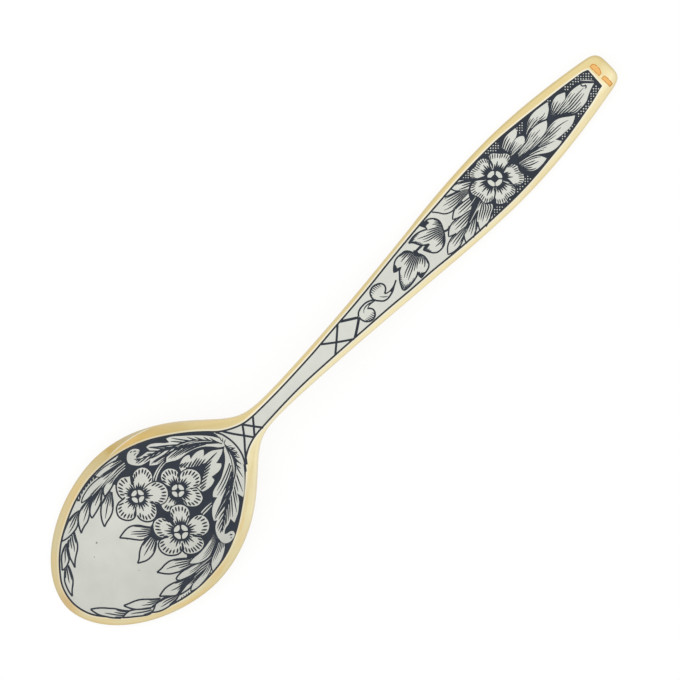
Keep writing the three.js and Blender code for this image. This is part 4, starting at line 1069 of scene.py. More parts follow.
petal(FLOWER, HANDLE, [(38.7, -1.4), (38, -1.9), (37.2, -2.5), (36.95, -3), (37.3, -3.7), (37.9, -4.1),
      (38.6, -4.25), (39.2, -4), (39.8, -4.15), (40.5, -4.3), (41.1, -4), (41.4, -3.4), (41.45, -2.6),
      (41.2, -1.8), (40.9, -1.4)], 2.9, spread=(0.2, 0.84), **CRISP)
petal(FLOWER, HANDLE, [(38.5, 1.3), (37.8, 2), (37.2, 2.35), (36.4, 2.4), (35.7, 2.15), (35.2, 1.6),
      (35.1, 0.9), (35.4, 0.2), (35.55, -0.4), (35.45, -1.1), (35.6, -1.7), (36.2, -2.1), (36.9, -2.3),
      (37.6, -2.05), (38.1, -1.7), (38.5, -1)], 3.0, spread=(0.22, 0.78), **CRISP)
eye(FLOWER, HANDLE, 1.42, (88, -3, -90, 188), 0.62, 0.2)
tell("the handle's flower")

# %% Upper ground
LEAF = "handle_leaf_upper"
cut(LEAF, [(45, 5.4), (44.6, 2.2), (44.9, 1.0), (44.0, 0.3), (44.5, -1.2), (44.1, -2.3), (44.3, -3.1),
    (45, -5.4), (57, -5.4), (57, 5.4)], within=inner_panel)
dots([(49.2, 2.5), (51.2, 3.7), (50.8, 3.95), (49.2, 4.0), (48.6, 3.0)], 0.45)
dots([(53.6, -3.2), (57.6, -3.2), (57.6, -2.8), (56, -3.0), (53.6, -3.0), (53.3, -3.7), (55, -3.6)], 0.44,
     0.3)
dots([(49.3, -3.9), (50.7, -3.8), (50.6, -4.05), (49.3, -4.1)], 0.42, 0.28)
dots([(56.3, 3.0), (57.2, 3.0), (57, 3.35), (56.4, 3.3)], 0.42)
cut("handle_end_ground", [(57, 5.4), (57, -5.4), (66, -5.4), (66, 5.4)], within=inner_panel)
dots([(59.9, 2.2), (60.2, 2.9), (64.2, 2.5), (65.4, 2.0), (65.4, 0.2), (64.9, 0.2), (63.6, 1.5),
     (62.4, 1.9), (60.6, 1.95)], 0.47)
dots([(58.2, -2.2), (58.4, -2.9), (61, -2.6), (64.6, -1.8), (65.1, -0.9), (64.5, -0.8), (62.9, -1.2),
     (61.6, -1.95), (59.5, -2.1)], 0.45, 0.28)
bright([(63.2, 1.75), (64.1, 0.95), (64.95, -0.1)], 0.16)
tell("the grounds towards the end")

# %% Upper acanthus
SEVEN = ((0.12, 0.45), (0.26, 0.34), (0.4, 0.42), (0.53, 0.3), (0.66, 0.4), (0.79, 0.32), (0.91, 0.45))
leaf(LEAF, (49, 3.95), [(48.3, 4.05), (47.3, 4.15), (46.3, 4), (45.5, 3.6), (44.8, 3.2)],
     [(48.7, 3.3), (48, 2.8), (47.1, 2.6), (46.2, 2.4), (45, 1.95)],
     ((0.15, 0.5), (0.35, 0.34), (0.52, 0.45), (0.68, 0.55), (0.84, 0.66)), outline=0)
leaf(LEAF, (49, 1.95), [(48.4, 2.4), (47.6, 2.55), (46.8, 2.4), (46, 2.05), (45.2, 1.6)],
     [(48.8, 1.4), (48.4, 1.05), (47, 0.92), (45.2, 0.95)],
     ((0.14, 0.5), (0.34, 0.42), (0.55, 0.46), (0.78, 0.36)), outline=0)
leaf(LEAF, (53.9, 0.95), [(53, 1.35), (52, 1.6), (51, 1.65), (50.1, 1.5), (49.3, 1.2), (48.5, 0.95),
     (47, 0.7), (45.8, 0.1)], [(53.5, 0.4), (53, 0), (52.2, -0.35), (51, -0.5), (49, -0.6), (47.5, -0.4),
     (45.8, -0.2)], SEVEN, outline=0)
leaf(LEAF, (56.3, 3.2), [(55.5, 3.35), (54.5, 3.5), (53.3, 3.6), (52.2, 3.45), (51.3, 3.1), (50.5, 2.5),
     (49.6, 1.8)], [(56, 2.6), (55.5, 2), (54.9, 1.6), (54.2, 1.25), (53.2, 1.65), (51.5, 1.85),
     (49.8, 1.75)], ((0.2, 0.62), (0.38, 0.42), (0.52, 0.5), (0.64, 0.22), (0.78, 0.36), (0.9, 0.42)),
     outline=0)
leaf(LEAF, (58.2, -2), [(57.4, -1.5), (56.6, -0.9), (55.8, -0.4), (55, -0.15), (54, -0.15), (53, -0.25),
     (52, -0.5), (50.5, -0.75), (48.4, -0.8)], [(57.6, -2.4), (56.8, -2.75), (55.8, -2.9), (54.8, -2.85),
     (52.9, -2.65), (51, -2), (49, -1.3), (47.8, -1.0)],
     ((0.2, 0.42), (0.36, 0.3), (0.5, 0.13), (0.62, 0.34), (0.73, 0.45), (0.84, 0.55)), outline=0)
leaf(LEAF, (53.25, -3.6), [(53, -3.2), (52.7, -2.7), (51, -1.95), (49.5, -1.4), (47.6, -1.0)],
     [(52.5, -3.75), (51.5, -3.75), (50.5, -3.5), (49.6, -3), (48.8, -2.4), (47.5, -1.7), (46, -1.2)],
     ((0.15, 0.3), (0.32, 0.36), (0.5, 0.5), (0.7, 0.62)), outline=0)
line(LEAF, [(48.5, -2.7), (49.3, -3.1), (50.2, -3.55), (51.2, -3.85)], 0.24)
leaf(LEAF, (49.1, -3.85), [(48.9, -3.3), (48.6, -2.75), (47.5, -1.95), (46.5, -1.6), (45, -1.15)],
     [(48.3, -4), (47.3, -4.05), (46.3, -3.9), (45.6, -3.5), (45.1, -2.9), (44.9, -2.2)],
     ((0.12, 0.3), (0.24, 0.4), (0.42, 0.36), (0.6, 0.45), (0.78, 0.6)), outline=0)
tell("the upper acanthus")

# %% Hairlines between its lobes
HAIRLINES = [
    [(44.9, 1.05), (46.5, 0.98), (48.4, 1.02)], [(45.9, 0.05), (47.5, -0.15), (49.5, -0.1)],
    [(48, -0.75), (50, -0.8), (52, -0.8)],
    [(45, -1.0), (46.5, -1.3), (48.5, -2.0)], [(49.6, 1.8), (51.4, 2.5), (53.6, 3.0)],
    [(45.2, 2.6), (46, 2.85), (47, 3.1)],
    [(45.3, 3.0), (46, 3.3), (47, 3.5)], [(45.6, 1.7), (46.5, 1.85), (47.4, 2.0)],
    [(45.5, 1.3), (46.5, 1.4), (47.6, 1.5)],
    [(46, 0.35), (48, 0.5), (50, 0.75)], [(46.5, 0.1), (48.5, 0.2), (50.6, 0.4)],
    [(47, -0.35), (49, -0.3), (51.2, 0.0)],
    [(49, -1.0), (50.6, -1.1), (52.4, -1.3)], [(49.6, -1.3), (51.5, -1.6), (53.6, -2.1)],
    [(47.4, -1.25), (49, -1.7), (50.8, -2.3)],
    [(46.8, -1.35), (48.3, -1.9), (49.8, -2.6)], [(45.2, -1.55), (46.4, -1.9), (47.6, -2.4)],
    [(45.2, -1.95), (46.2, -2.3), (47.2, -2.8)],
    [(50.3, 2.1), (51.6, 2.35), (53.2, 2.7)], [(51, 1.95), (52.4, 2.05), (53.8, 2.3)],
]
for way in HAIRLINES:
    bright(way, 0.16, HAIR)
line(LEAF, [(46.5, -0.75), (50, -1.0), (53, -0.95)], 0.34, (1, 0.8, 0.3))
tell("the hairlines")

# %% End leaf
LEAF = "handle_end_leaf"
cut(LEAF, [(56.0, 0.6), (57.0, 1.9), (58.2, 2.0), (60, 1.3), (60, -1.4), (58.4, -1.6), (57.2, -0.6),
    (56.2, 0.0)], within=inner_panel)
leaf(LEAF, (59.85, 2.15), [(59, 2.6), (58.3, 2.8), (57.5, 2.7), (56.8, 2.4), (56, 1.9), (55.3, 1.3)],
     [(59.5, 1.8), (59.1, 1.4), (58, 1.2), (56.5, 0.95), (55.3, 0.8)],
     ((0.14, 0.6), (0.32, 0.46), (0.5, 0.4), (0.68, 0.5), (0.85, 0.45)), outline=0)
leaf(LEAF, (64.7, -0.35), [(64.2, 0.1), (63.5, 0.8), (62.9, 1.2), (62.4, 1.35), (61.6, 1.5), (60.8, 1.55),
     (60, 1.45), (59, 1.2), (57.5, 0.9), (55.6, 0.6)], [(63.8, -0.6), (63, -0.9), (62.2, -1.3),
     (61.5, -1.65), (60.6, -1.8), (59.6, -1.8), (58.7, -1.75), (58.2, -1.5), (57.5, -0.8), (56.4, -0.1)],
     ((0.14, 0.5), (0.3, 0.34), (0.44, 0.26), (0.56, 0.3), (0.67, 0.38), (0.77, 0.44), (0.88, 0.52)),
     outline=0)
for way in ([(56.1, 1.3), (57, 1.5), (58, 1.75)], [(56, 0.8), (57.8, 0.95), (59.6, 1.1)],
            [(56.1, 0.35), (57.6, 0.4), (59.2, 0.5)], [(56.5, 0.0), (57.8, 0.0), (59.2, -0.05)],
            [(57.2, -0.35), (58.2, -0.45), (59.4, -0.55)], [(57.7, -0.8), (58.5, -0.95), (59.4, -1.05)]):
    bright(way, 0.16, HAIR)
line(LEAF, [(62.9, 1.25), (62.8, 0.9), (63.1, 0.55), (63.45, 0.45)], 0.26)
cut(LEAF, [(63.3, 0.5), (63.5, 0.3), (63.2, 0.0), (62.7, 0.1), (63.1, 0.25)])
tell("the end leaf")

# %% [markdown]
# ## Stamps
# Two small punch marks sit at the end of the handle. They are struck into the gilt metal, so they are
# plain recesses, each with a flat floor and sloping walls.

# %% Stamp recesses
STAMP_SLOPE = 0.17
STAMPS = [
    [(66.2, -0.1), (66.85, -0.1, 1), (67.2, 0.5), (67.35, 1.2), (67.2, 2.0), (66.9, 2.35, 1), (66.2, 2.35, 1),
     (66.2, -0.1)],
    [(66.2, -2.85), (67.0, -2.85, 1), (67.15, -1.8), (67.0, -0.65, 1), (66.2, -0.65, 1), (66.2, -2.85)],
]
for outline_points in STAMPS:
    stamp = anticlockwise(outline_points)
    cut("stamp", stamp)
    cut("stamp_floor", ring(stamp, STAMP_SLOPE))
tell("the stamps")

# %% [markdown]
# ## One cut along every line
# Cutting the pockets with booleans would take hundreds of slow, fragile steps. A constrained Delaunay
# triangulation does it at once: it takes all edges of all marks and returns triangles that never cross
# one. Loose points between the lines keep the triangles small enough to follow the bowl's curve.

# %% Triangulate the back
RIM_INSET = 0.3
MERGE = 0.004


def grid(step):
    """Loose points all over the spoon, in rows set off by half a step."""
    xs = np.arange(TIP, END, step)
    ys = np.arange(-BOWL_HALF, BOWL_HALF, step * 0.87)
    return np.array([(x + (step / 2 if row % 2 else 0), y) for row, y in enumerate(ys) for x in xs])


def triangulate(loops, loose):
    """Triangles over closed loops and loose points, and where the first loop's points went."""
    points = np.vstack(loops + [loose])
    edges = []
    start = 0
    for loop in loops:
        count = len(loop)
        edges += [(start + i, start + (i + 1) % count) for i in range(count)]
        start += count
    made = delaunay_2d_cdt([tuple(p) for p in points], edges, [], 0, MERGE, True)
    flat = np.array([tuple(v) for v in made[0]])
    triangles = np.array([tuple(f) for f in made[2] if len(f) == 3])
    home = {old: new for new, sources in enumerate(made[3]) for old in sources}
    first = np.array([home[i] for i in range(len(loops[0]))])
    return flat, triangles, first


rim = ring(silhouette, RIM_INSET)
margin_loops = [ring(panel, -0.12), ring(panel, -0.32)]
coarse = grid(0.85)
fine = grid(0.5)
coarse = coarse[inside(ring(panel, 0.5), coarse)]
fine = fine[inside(ring(silhouette, 0.55), fine) & ~inside(ring(panel, -0.5), fine)]
flat, triangles, rim_points = triangulate(
    [rim] + margin_loops + [inner_panel] + [mark[1] for mark in marks], np.vstack([coarse, fine]))
centres = flat[triangles].mean(axis=1)
keep = inside(rim, centres)
triangles, centres = triangles[keep], centres[keep]
print(len(flat), "points and", len(triangles), "triangles on the back")

# %% Paint the triangles
fillings = sorted({mark[0] for mark in marks} - {"silver", "stamp", "stamp_floor"})
LEVELS = ["gilt", "stamp", "stamp_floor", "silver"] + fillings
label = np.zeros(len(triangles), int)
for name, polygon, within in marks:
    covered = inside(polygon, centres)
    if within is not None:
        covered &= inside(within, centres)
    label[covered] = LEVELS.index(name)
for index, name in enumerate(LEVELS):
    print(name, int(np.sum(label == index)), "triangles")

# %% [markdown]
# ## From triangles to solid pieces
# Each triangle now belongs to gilt, silver, a stamp or one filling. The blank gets its pockets as floors
# below the surface with walls between, and each filling becomes a closed body that sits in its pocket,
# a hair below the silver, as polishing leaves it. Corners are shared only across edges, so that two
# areas that meet at one point don't get stuck together there.

# %% Corners and walls
def shared_corners(tris, level):
    """Numbers the triangles' corners so that they join across edges within one level.

    Also returns the edges between two levels, or at the outside: triangle, corner, other triangle."""
    parent = list(range(3 * len(tris)))

    def find(i):
        while parent[i] != i:
            parent[i] = parent[parent[i]]
            i = parent[i]
        return i

    open_edges = {}
    borders = []
    for t, tri in enumerate(tris.tolist()):
        for k in range(3):
            a, b = tri[k], tri[(k + 1) % 3]
            other = open_edges.pop((b, a), None)
            if other is None:
                open_edges[(a, b)] = (t, k)
                continue
            u, j = other
            if level[t] == level[u]:
                parent[find(3 * t + k)] = find(3 * u + (j + 1) % 3)
                parent[find(3 * t + (k + 1) % 3)] = find(3 * u + j)
            else:
                borders.append((t, k, u))
                borders.append((u, j, t))
    borders += [(t, k, -1) for t, k in open_edges.values()]
    return np.array([find(i) for i in range(3 * len(tris))]).reshape(-1, 3), borders


FAR = 9.0


class Solid:
    """Collects faces with their normals, materials and tone until they become one mesh."""

    def __init__(self):
        self.points = []
        self.number = {}
        self.faces = []
        self.normals = []
        self.slots = []
        self.tones = []

    def point(self, key, place, tone=(FAR, FAR, 0.0)):
        if key not in self.number:
            self.number[key] = len(self.points)
            self.points.append(place)
            self.tones.append(tone)
        return self.number[key]

    def face(self, corners, normals, slot=0):
        self.faces.append(corners)
        self.normals += normals
        self.slots.append(slot)

    def wall(self, a, b, c, d, slot=0):
        """A flat quad of four point numbers, as two triangles."""
        p, q, r = (np.array(self.points[i]) for i in (a, b, d))
        out = np.cross(q - p, r - p)
        out = tuple(out / max(np.linalg.norm(out), 1e-12))
        self.face((a, b, c), [out] * 3, slot)
        self.face((a, c, d), [out] * 3, slot)

    def build(self, name, materials):
        mesh = bpy.data.meshes.new(name)
        mesh.from_pydata([tuple(MILLIMETRE * v for v in p) for p in self.points], [], self.faces)
        mesh.polygons.foreach_set("use_smooth", [True] * len(self.faces))
        for material in materials:
            mesh.materials.append(material)
        mesh.polygons.foreach_set("material_index", self.slots)
        for index, title in enumerate(("border", "edge", "recess")):
            mesh.attributes.new(title, "FLOAT", "POINT")
            mesh.attributes[title].data.foreach_set("value", [tone[index] for tone in self.tones])
        mesh.normals_split_custom_set(self.normals)
        piece = bpy.data.objects.new(name, mesh)
        bpy.context.scene.collection.objects.link(piece)
        return piece


print("corners to share:", triangles.size)

# %% [markdown]
# ## Finishes
# Three finishes cover the spoon: gilding, satin silver and niello. Each is a small node tree. To keep the
# shader maths readable, one class wraps a socket, and plain Python sums on it add the Math nodes.

# %% A socket that can be added and multiplied
class Wire:
    """One output socket of a node tree."""

    def __init__(self, tree, socket=None):
        self.tree = tree
        self.socket = socket

    def node(self, kind, settings=None, inputs=None, output=0):
        made = self.tree.nodes.new(kind)
        for key, value in (settings or {}).items():
            if key == "stops":
                ramp = made.color_ramp.elements
                while len(ramp) < len(value):
                    ramp.new(1.0)
                for stop, (place, colour) in zip(ramp, value):
                    stop.position = place
                    stop.color = colour
            else:
                setattr(made, key, value)
        for key, value in (inputs or {}).items():
            if isinstance(value, Wire):
                self.tree.links.new(value.socket, made.inputs[key])
            else:
                made.inputs[key].default_value = value
        return Wire(self.tree, made.outputs[output])

    def math(self, operation, first, second, clamp=False):
        settings = {"operation": operation, "use_clamp": clamp}
        return self.node("ShaderNodeMath", settings, {0: first, 1: second})

    def __add__(self, other):
        return self.math("ADD", self, other)

    def __sub__(self, other):
        return self.math("SUBTRACT", self, other)

    def __rsub__(self, other):
        return self.math("SUBTRACT", other, self)

    def __mul__(self, other):
        return self.math("MULTIPLY", self, other)

    def __truediv__(self, other):
        return self.math("DIVIDE", self, other)

    __radd__ = __add__
    __rmul__ = __mul__

    def clamped(self):
        return self.math("ADD", self, 0.0, clamp=True)

    def peak(self, place, half):
        """1 at a place, falling evenly to 0 at half a width on both sides and below 0 beyond."""
        return 1.0 - self.math("ABSOLUTE", self - place, 0.0) / half

    def far_from(self, spot):
        """For a wire that carries a place: its distance from one spot."""
        return self.node("ShaderNodeVectorMath", {"operation": "DISTANCE"}, {0: self, 1: spot}, output=1)

    def mixed(self, first, second):
        """A colour between two colours, with this value as the share of the second."""
        settings = {"data_type": "RGBA"}
        return self.node("ShaderNodeMix", settings, {0: self, 6: first, 7: second}, output=2)


def shade(red, green, blue):
    """A screen colour, 0 to 255, as the linear colour that a shader wants."""
    linear = []
    for value in (red, green, blue):
        share = value / 255
        linear.append(share / 12.92 if share <= 0.04045 else ((share + 0.055) / 1.055) ** 2.4)
    return (*linear, 1.0)


def new_finish(name):
    """A new material, its shader node and a wire to build its tree with."""
    material = bpy.data.materials.new(name)
    material.use_nodes = True
    tree = material.node_tree
    return material, tree.nodes["Principled BSDF"], Wire(tree)


def connect(wire, shader, socket):
    wire.tree.links.new(wire.socket, shader.inputs[socket])


print("mid grey as a linear colour:", round(shade(128, 128, 128)[0], 3))


# %% [markdown]
# ### Gilding
# Gold is laid on thinly, so its tone changes at random. It is pale on the handle. Painted shade makes it
# duller on the bowl, darker on the upper side, deep on the upper side of the heel and darker on the very
# edge, and painted highlights make it nearly white beside the border line and in a streak on the heel's
# shoulder. Values on the mesh say how far a point lies from the border line and from the edge, and whether it
# is in a stamp.

# %% Place and noise
def in_millimetres(wire):
    """The place on the object in millimetres: all of it, then along and across the spoon."""
    place = wire.node("ShaderNodeTexCoord", output=3)
    whole = wire.node("ShaderNodeVectorMath", {"operation": "SCALE"}, {0: place, 3: 1 / MILLIMETRE})
    parts = [wire.node("ShaderNodeSeparateXYZ", inputs={0: whole}, output=axis) for axis in (0, 1)]
    return whole, *parts


def noise(wire, place, scale, detail=3.0):
    """Soft noise round zero."""
    return wire.node("ShaderNodeTexNoise", inputs={"Vector": place, "Scale": scale, "Detail": detail}) - 0.5


print("one shader unit is", 1 / MILLIMETRE, "mm")

# %% Gilt
gilt, shader, wire = new_finish("gilt_silver")
place, along, across = in_millimetres(wire)
border, edge_gap, recess = (
    wire.node("ShaderNodeAttribute", {"attribute_name": title}, output=2)
    for title in ("border", "edge", "recess"))
clouds = noise(wire, place, 0.22)
haze = noise(wire, place, 1.4, 4.0)
# Painted shade: the gilt is darker on the upper side than on the lower side, with a little noise.
upper = (across / 3.0 + 0.5 + clouds).clamped()
bowl = ((-24.0 - along) / 16.0 + 0.8 * clouds).clamped()
heel = (along.peak(-38.0, 13.0) + 0.6 * clouds).clamped() * (across / 9.0).clamped()
handle_side_shade = upper.mixed(shade(249, 237, 192), shade(229, 211, 155))
bowl_side_shade = upper.mixed(shade(226, 213, 168), shade(217, 203, 160))
# Painted shade: the bowl's gilt is duller than the handle's.
colour = bowl.mixed(handle_side_shade, bowl_side_shade)
# Painted shade: deep orange on the upper side of the heel.
colour = heel.mixed(colour, shade(203, 176, 108))
bands = wire.node("ShaderNodeCombineXYZ", inputs={0: 1.3 * edge_gap, 1: 0.14 * along, 2: 0.14 * across})
warm = (2.8 * noise(wire, bands, 1.0, 2.0) + 0.2).clamped() * (0.3 + 0.5 * bowl)
colour = warm.mixed(colour, shade(232, 194, 122))
print("gilding has", len(wire.tree.nodes), "nodes so far")

# %% Painted highlights, painted shade and stamps of the gilding
# Painted highlight: nearly white gilt just outside the border line.
border_highlight = border.peak(0.16, 0.22).clamped() * (0.95 - 0.5 * bowl)
colour = border_highlight.mixed(colour, shade(246, 243, 228))
# Painted reflections on the heel's upper shoulder: a pale highlight streak near the edge, orange to grey
# beyond it.
gap_to_highlight = edge_gap - (1.45 - 0.144 * (along + 44.3))
shoulder = (along.peak(-40.0, 1.2) + 3.0).clamped() * (across / 4.0 - 1.0).clamped()
outside = (0.5 - gap_to_highlight / 0.2).clamped() * shoulder * 0.7
outer_reflection_tone = ((along + 43.5) / 4.5).clamped().mixed(shade(198, 166, 94), shade(192, 186, 158))
colour = outside.mixed(colour, outer_reflection_tone)
highlight_streak = gap_to_highlight.peak(0.0, 0.15).clamped() * shoulder * 0.75
colour = highlight_streak.mixed(colour, shade(246, 242, 226))
tip_spot = (1.0 - place.far_from((-68.6, 0.3, 2.0)) / 3.5).clamped()
colour = (0.6 * tip_spot).mixed(colour, shade(214, 160, 84))
# Painted shade: darker gilt on the very edge.
edge_shade = (1.0 - edge_gap / 0.4).clamped() * 0.55
colour = edge_shade.mixed(colour, shade(196, 180, 138))
# The stamp floors keep a deeper gilt. Their sloping walls get a deep orange, partly deeper gilding and partly
# painted shade.
slope = (recess.peak(0.5, 0.25) + 1.0).clamped()
colour = recess.mixed(colour, shade(240, 188, 116))
colour = slope.mixed(colour, shade(204, 124, 26))
connect(colour, shader, "Base Color")
connect((0.3 + 0.12 * haze).clamped(), shader, "Roughness")
shader.inputs["Metallic"].default_value = 1.0
scratches = noise(wire, place, 9.0)
bump = wire.node("ShaderNodeBump", inputs={"Strength": 0.05, "Distance": 0.00005, "Height": scratches})
connect(bump, shader, "Normal")
print("gilding has", len(wire.tree.nodes), "nodes")

# %% [markdown]
# ### Satin silver
# The silver field was rubbed with fine abrasive, so it is matt and nearly even, with a faint brushing.

# %% Silver
silver, shader, wire = new_finish("satin_silver")
place, along, across = in_millimetres(wire)
bowl = ((-4.0 - along) / 40.0).clamped()
# The silver is darker towards the bowl, with soft random patches.
darker_towards_bowl = (0.55 * bowl + 0.9 * noise(wire, place, 0.3, 4.0) + 0.25).clamped()
colour = darker_towards_bowl.mixed(shade(225, 227, 218), shade(207, 208, 200))
for speck, size in (((-56.9, 4.7), 0.2), ((-59.0, 3.2), 0.12), ((-55.0, -4.2), 0.1), ((-52.6, 1.2), 0.09)):
    gap = place.far_from((*speck, float(back_height(*np.array(speck)))))
    colour = (1.2 - gap / size).clamped().mixed(colour, shade(90, 92, 90))
connect(colour, shader, "Base Color")
stretched = wire.node("ShaderNodeVectorMath", {"operation": "MULTIPLY"}, {0: place, 1: (2.0, 14.0, 2.0)})
brushing = noise(wire, stretched, 1.0)
connect((0.45 + 0.15 * brushing).clamped(), shader, "Roughness")
shader.inputs["Metallic"].default_value = 1.0
bump = wire.node("ShaderNodeBump", inputs={"Strength": 0.08, "Distance": 0.00004, "Height": brushing})
connect(bump, shader, "Normal")
print("silver has", len(wire.tree.nodes), "nodes")

# %% [markdown]
# ### Niello
# Niello is a blue-black mixture of silver, copper and lead sulphides. It doesn't shine like a metal, and
# tiny pits keep it from looking like paint.

# %% Niello
niello, shader, wire = new_finish("niello")
place, along, across = in_millimetres(wire)
pits = noise(wire, place, 7.0)
depth = (0.5 + 1.1 * noise(wire, place, 0.6, 4.0) + 0.5 * pits).clamped()
connect(depth.mixed(shade(29, 36, 46), shade(45, 53, 66)), shader, "Base Color")
connect((0.36 + 0.2 * pits).clamped(), shader, "Roughness")
shader.inputs["Specular IOR Level"].default_value = 0.3
bump = wire.node("ShaderNodeBump", inputs={"Strength": 0.12, "Distance": 0.00005, "Height": pits})
connect(bump, shader, "Normal")
print("finishes:", [m.name for m in (gilt, silver, niello)])

# %% [markdown]
# ## The blank
# Now the back's triangles become the blank: metal at the surface, pocket floors below it, walls between,
# a rounded edge all round, and the hollow front underneath. The front is a second triangulation, joined
# to the same rim.

# %% Heights and tones of the back
POCKET_DEPTH = 0.3
STAMP_DEPTH = 0.2
GILT_SLOT = 0
SILVER_SLOT = 1


def face_all(corners, trios, sign):
    """Turns triangles over until all wind anticlockwise, with a sign of 1, or clockwise, with -1."""
    first, second, third = (corners[trios[:, k]] for k in range(3))
    wrong = sign * np.cross(second - first, third - first) < 0
    trios[wrong] = trios[wrong][:, ::-1]


face_all(flat, triangles, 1)
top = back_height(flat[:, 0], flat[:, 1])
up = face_up(back_height, flat)


def nearest(points, targets):
    """Distance from each point to the nearest of the targets."""
    found = np.empty(len(points))
    for start in range(0, len(points), 2000):
        part = points[start:start + 2000]
        gaps = part[:, None, :] - targets[None, :, :]
        found[start:start + 2000] = np.sqrt((gaps**2).sum(axis=2).min(axis=1))
    return found


from_panel = nearest(flat, even_steps(panel, 0.1))
from_rim = nearest(flat, silhouette)
print("farthest point from the border line:", round(float(from_panel.max()), 2), "mm")

# %% Top, pockets and stamps
SILVER = LEVELS.index("silver")
level = (label > SILVER).astype(int)
sunk = np.zeros(len(flat))
sunk[np.unique(triangles[label == LEVELS.index("stamp_floor")])] = 1.0
blank_top = top - STAMP_DEPTH * sunk
corners, borders = shared_corners(triangles, level)
blank = Solid()


def blank_point(t, k):
    v = int(triangles[t, k])
    in_pocket = int(level[t])
    key = ("floor", v) if in_pocket else ("top", int(corners[t, k]))
    place = (flat[v, 0], flat[v, 1], blank_top[v] - POCKET_DEPTH * in_pocket)
    return blank.point(key, place, (float(from_panel[v]), float(from_rim[v]), float(sunk[v])))


for t in range(len(triangles)):
    slot = SILVER_SLOT if label[t] >= SILVER else GILT_SLOT
    normals = [tuple(up[v]) for v in triangles[t]]
    blank.face(tuple(blank_point(t, k) for k in range(3)), normals, slot)
rim_number = {}
for t, k, u in borders:
    if u < 0:
        rim_number[int(triangles[t, k])] = blank_point(t, k)
        rim_number[int(triangles[t, (k + 1) % 3])] = blank_point(t, (k + 1) % 3)
    elif level[t] == 0:
        j = [list(triangles[u]).index(triangles[t, (k + step) % 3]) for step in (0, 1)]
        blank.wall(blank_point(t, k), blank_point(u, j[0]), blank_point(u, j[1]),
                   blank_point(t, (k + 1) % 3), SILVER_SLOT)
print(len(blank.faces), "faces on the back and in its pockets")

# %% Rounded edge
BACK_ROWS = [0.2, 0.12, 0.06, 0.02, 0.0]
FRONT_ROWS = [(0.0, 0.55), (0.04, 0.22), (0.12, 0.05), (0.25, 0.0)]
rows = [np.column_stack([rim, back_height(*rim.T)])]
for inset in BACK_ROWS:
    loop = ring(silhouette, inset)
    rows.append(np.column_stack([loop, back_height(*loop.T)]))
for inset, share in FRONT_ROWS:
    loop = ring(silhouette, inset)
    height = front_height(loop[:, 0]) + share * edge_height(loop[:, 0])
    rows.append(np.column_stack([loop, height]))
rows = np.array(rows)
along_rim = np.roll(rows, -1, axis=1) - np.roll(rows, 1, axis=1)
row_normals = np.cross(np.gradient(rows, axis=0), along_rim)
row_normals /= np.maximum(np.linalg.norm(row_normals, axis=2, keepdims=True), 1e-12)
row_normals[0] = up[rim_points]
row_normals[-1] = (0, 0, -1)
count = len(silhouette)
last_row = len(rows) - 1
numbers = np.zeros((len(rows), count), int)
numbers[0] = [rim_number[int(v)] for v in rim_points]
for r in range(1, len(rows)):
    tone = (FAR, BACK_ROWS[r - 1] if r <= len(BACK_ROWS) else 0.0, 0.0)
    numbers[r] = [blank.point(("edge", r, i), tuple(rows[r, i]), tone) for i in range(count)]
for r in range(last_row):
    for i in range(count):
        n = (i + 1) % count
        a, b, c, d = (r, i), (r + 1, i), (r + 1, n), (r, n)
        for trio in ((a, b, c), (a, c, d)):
            blank.face(tuple(int(numbers[p]) for p in trio), [tuple(row_normals[p]) for p in trio])
print(last_row, "rows round the edge")

# %% Front and hollow
under = rows[-1][:, :2]
reach = np.linspace(0, 1, 160)[1:-1]
mouth_x = lerp(WIDEST - HOLLOW_FRONT, WIDEST + HOLLOW_HEEL, (1 - np.cos(math.pi * reach)) / 2)
mouth_half = hollow_half(mouth_x)
mouth = np.vstack([
    np.column_stack([mouth_x, middle(mouth_x) - mouth_half]),
    np.column_stack([mouth_x, middle(mouth_x) + mouth_half])[::-1]])
field = grid(0.75)
field = field[inside(ring(silhouette, 0.7), field)]
front_flat, front_triangles, front_rim = triangulate([under, mouth], field)
front_triangles = front_triangles[inside(under, front_flat[front_triangles].mean(axis=1))]
face_all(front_flat, front_triangles, -1)
front_z = hollow_height(*front_flat.T)
front_normals = -face_up(hollow_height, front_flat)
for i, v in enumerate(front_rim):
    blank.number[("front", int(v))] = int(numbers[last_row, i])
for trio in front_triangles:
    spots = [blank.point(("front", int(v)), (*front_flat[v], front_z[v])) for v in trio]
    blank.face(tuple(spots), [tuple(front_normals[v]) for v in trio])
spoon = blank.build("spoon_body", [gilt, silver])
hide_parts("spoon_blank")
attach(spoon, "root")
print("spoon body:", len(blank.points), "points,", len(blank.faces), "faces")

# %% [markdown]
# ## The fillings
# Each filling is a thin closed body with a flat base, walls and a polished face just below the silver.

# %% Build every filling
LIP = 0.012
BASE_GAP = 0.01
for name in fillings:
    own = triangles[label == LEVELS.index(name)]
    corners, borders = shared_corners(own, np.zeros(len(own), int))
    body = Solid()

    def place_of(t, k, raised):
        v = int(own[t, k])
        if raised:
            return body.point(("top", int(corners[t, k])), (*flat[v], top[v] - LIP))
        return body.point(("base", v), (*flat[v], top[v] - POCKET_DEPTH + BASE_GAP))

    for t in range(len(own)):
        normals = [tuple(up[v]) for v in own[t]]
        body.face(tuple(place_of(t, k, True) for k in range(3)), normals)
        body.face(tuple(place_of(t, k, False) for k in (2, 1, 0)), [tuple(-up[v]) for v in own[t][::-1]])
    for t, k, _ in borders:
        n = (k + 1) % 3
        body.wall(place_of(t, k, True), place_of(t, k, False), place_of(t, n, False), place_of(t, n, True))
    piece = body.build("inlay_" + name, [niello])
    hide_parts(name)
    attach(piece, "root")
    print(piece.name, len(body.faces), "faces")

# %% [markdown]
# ## Table, light and camera
# The spoon was photographed from straight above on white. The floor is pale and glows a little for the
# camera and in reflections, so that the background is white but a soft shadow stays. A wide even sky and
# one large lamp give plain studio light.

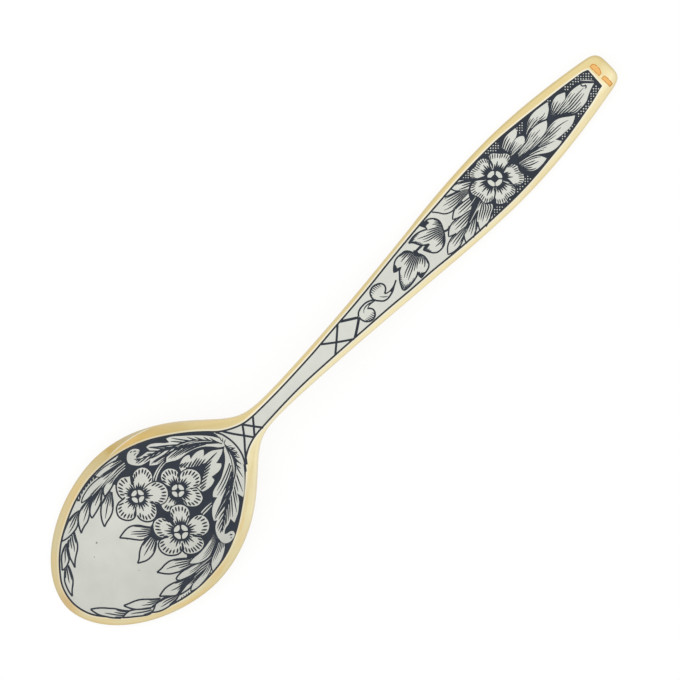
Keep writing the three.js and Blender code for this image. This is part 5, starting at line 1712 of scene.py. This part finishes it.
# %% Floor
FLOOR_HALF = 3.0
PAPER = (0.9, 0.9, 0.9, 1)
GLOW_SHARE = 0.8
GLOW = 1.05
WHITE = (1, 1, 1, 1)
mesh = bpy.data.meshes.new("floor")
square = [(-1, -1), (1, -1), (1, 1), (-1, 1)]
mesh.from_pydata([(FLOOR_HALF * x, FLOOR_HALF * y, cad_box[0][2]) for x, y in square], [], [(0, 1, 2, 3)])
floor = bpy.data.objects.new("floor", mesh)
bpy.context.scene.collection.objects.link(floor)
paper, shader, wire = new_finish("white_paper")
shader.inputs["Base Color"].default_value = PAPER
shader.inputs["Roughness"].default_value = 0.8
rays = wire.node("ShaderNodeLightPath", output="Is Camera Ray")
glossy = wire.node("ShaderNodeLightPath", output="Is Glossy Ray")
passing = wire.node("ShaderNodeLightPath", output="Is Transmission Ray")
seen = (rays + glossy + passing).clamped() * GLOW_SHARE
glow = wire.node("ShaderNodeEmission", inputs={"Color": WHITE, "Strength": GLOW})
matt = Wire(wire.tree, shader.outputs[0])
ground = wire.node("ShaderNodeMixShader", inputs={0: seen, 1: matt, 2: glow})
wire.tree.links.new(ground.socket, wire.tree.nodes["Material Output"].inputs[0])
mesh.materials.append(paper)
print("floor:", 2 * FLOOR_HALF, "m wide")

# %% Sky and lamp
SKY = 0.93
world = bpy.data.worlds.new("studio")
bpy.context.scene.world = world
world.use_nodes = True
world.node_tree.nodes["Background"].inputs[0].default_value = WHITE
world.node_tree.nodes["Background"].inputs[1].default_value = SKY
lamp = bpy.data.lights.new("softbox", "AREA")
lamp.energy = 0.35
lamp.size = 0.9
softbox = bpy.data.objects.new("softbox", lamp)
softbox.location = (-0.25, 0.3, 0.6)
softbox.rotation_euler = (math.radians(-26), math.radians(-20), 0)
bpy.context.scene.collection.objects.link(softbox)
print("sky", SKY, "and a lamp of", round(lamp.energy, 2), "W")

# %% Camera
FRAME_WIDTH = 122.2
LENS = 1200.0
SENSOR = 36.0
VIEW_PLANE = 4.0
AIM = (-0.25, -0.57)
ROLL = -45.12
camera_data = bpy.data.cameras.new("camera")
camera_data.lens = LENS
camera_data.sensor_width = SENSOR
camera_data.clip_end = 100.0
camera = bpy.data.objects.new("camera", camera_data)
distance = FRAME_WIDTH * LENS / SENSOR + VIEW_PLANE
camera.location = (AIM[0] * MILLIMETRE, AIM[1] * MILLIMETRE, distance * MILLIMETRE)
camera.rotation_euler = (0, 0, math.radians(ROLL))
bpy.context.scene.collection.objects.link(camera)
bpy.context.scene.camera = camera
bpy.context.scene.view_settings.view_transform = "Standard"
print("camera", round(distance), "mm above the table")
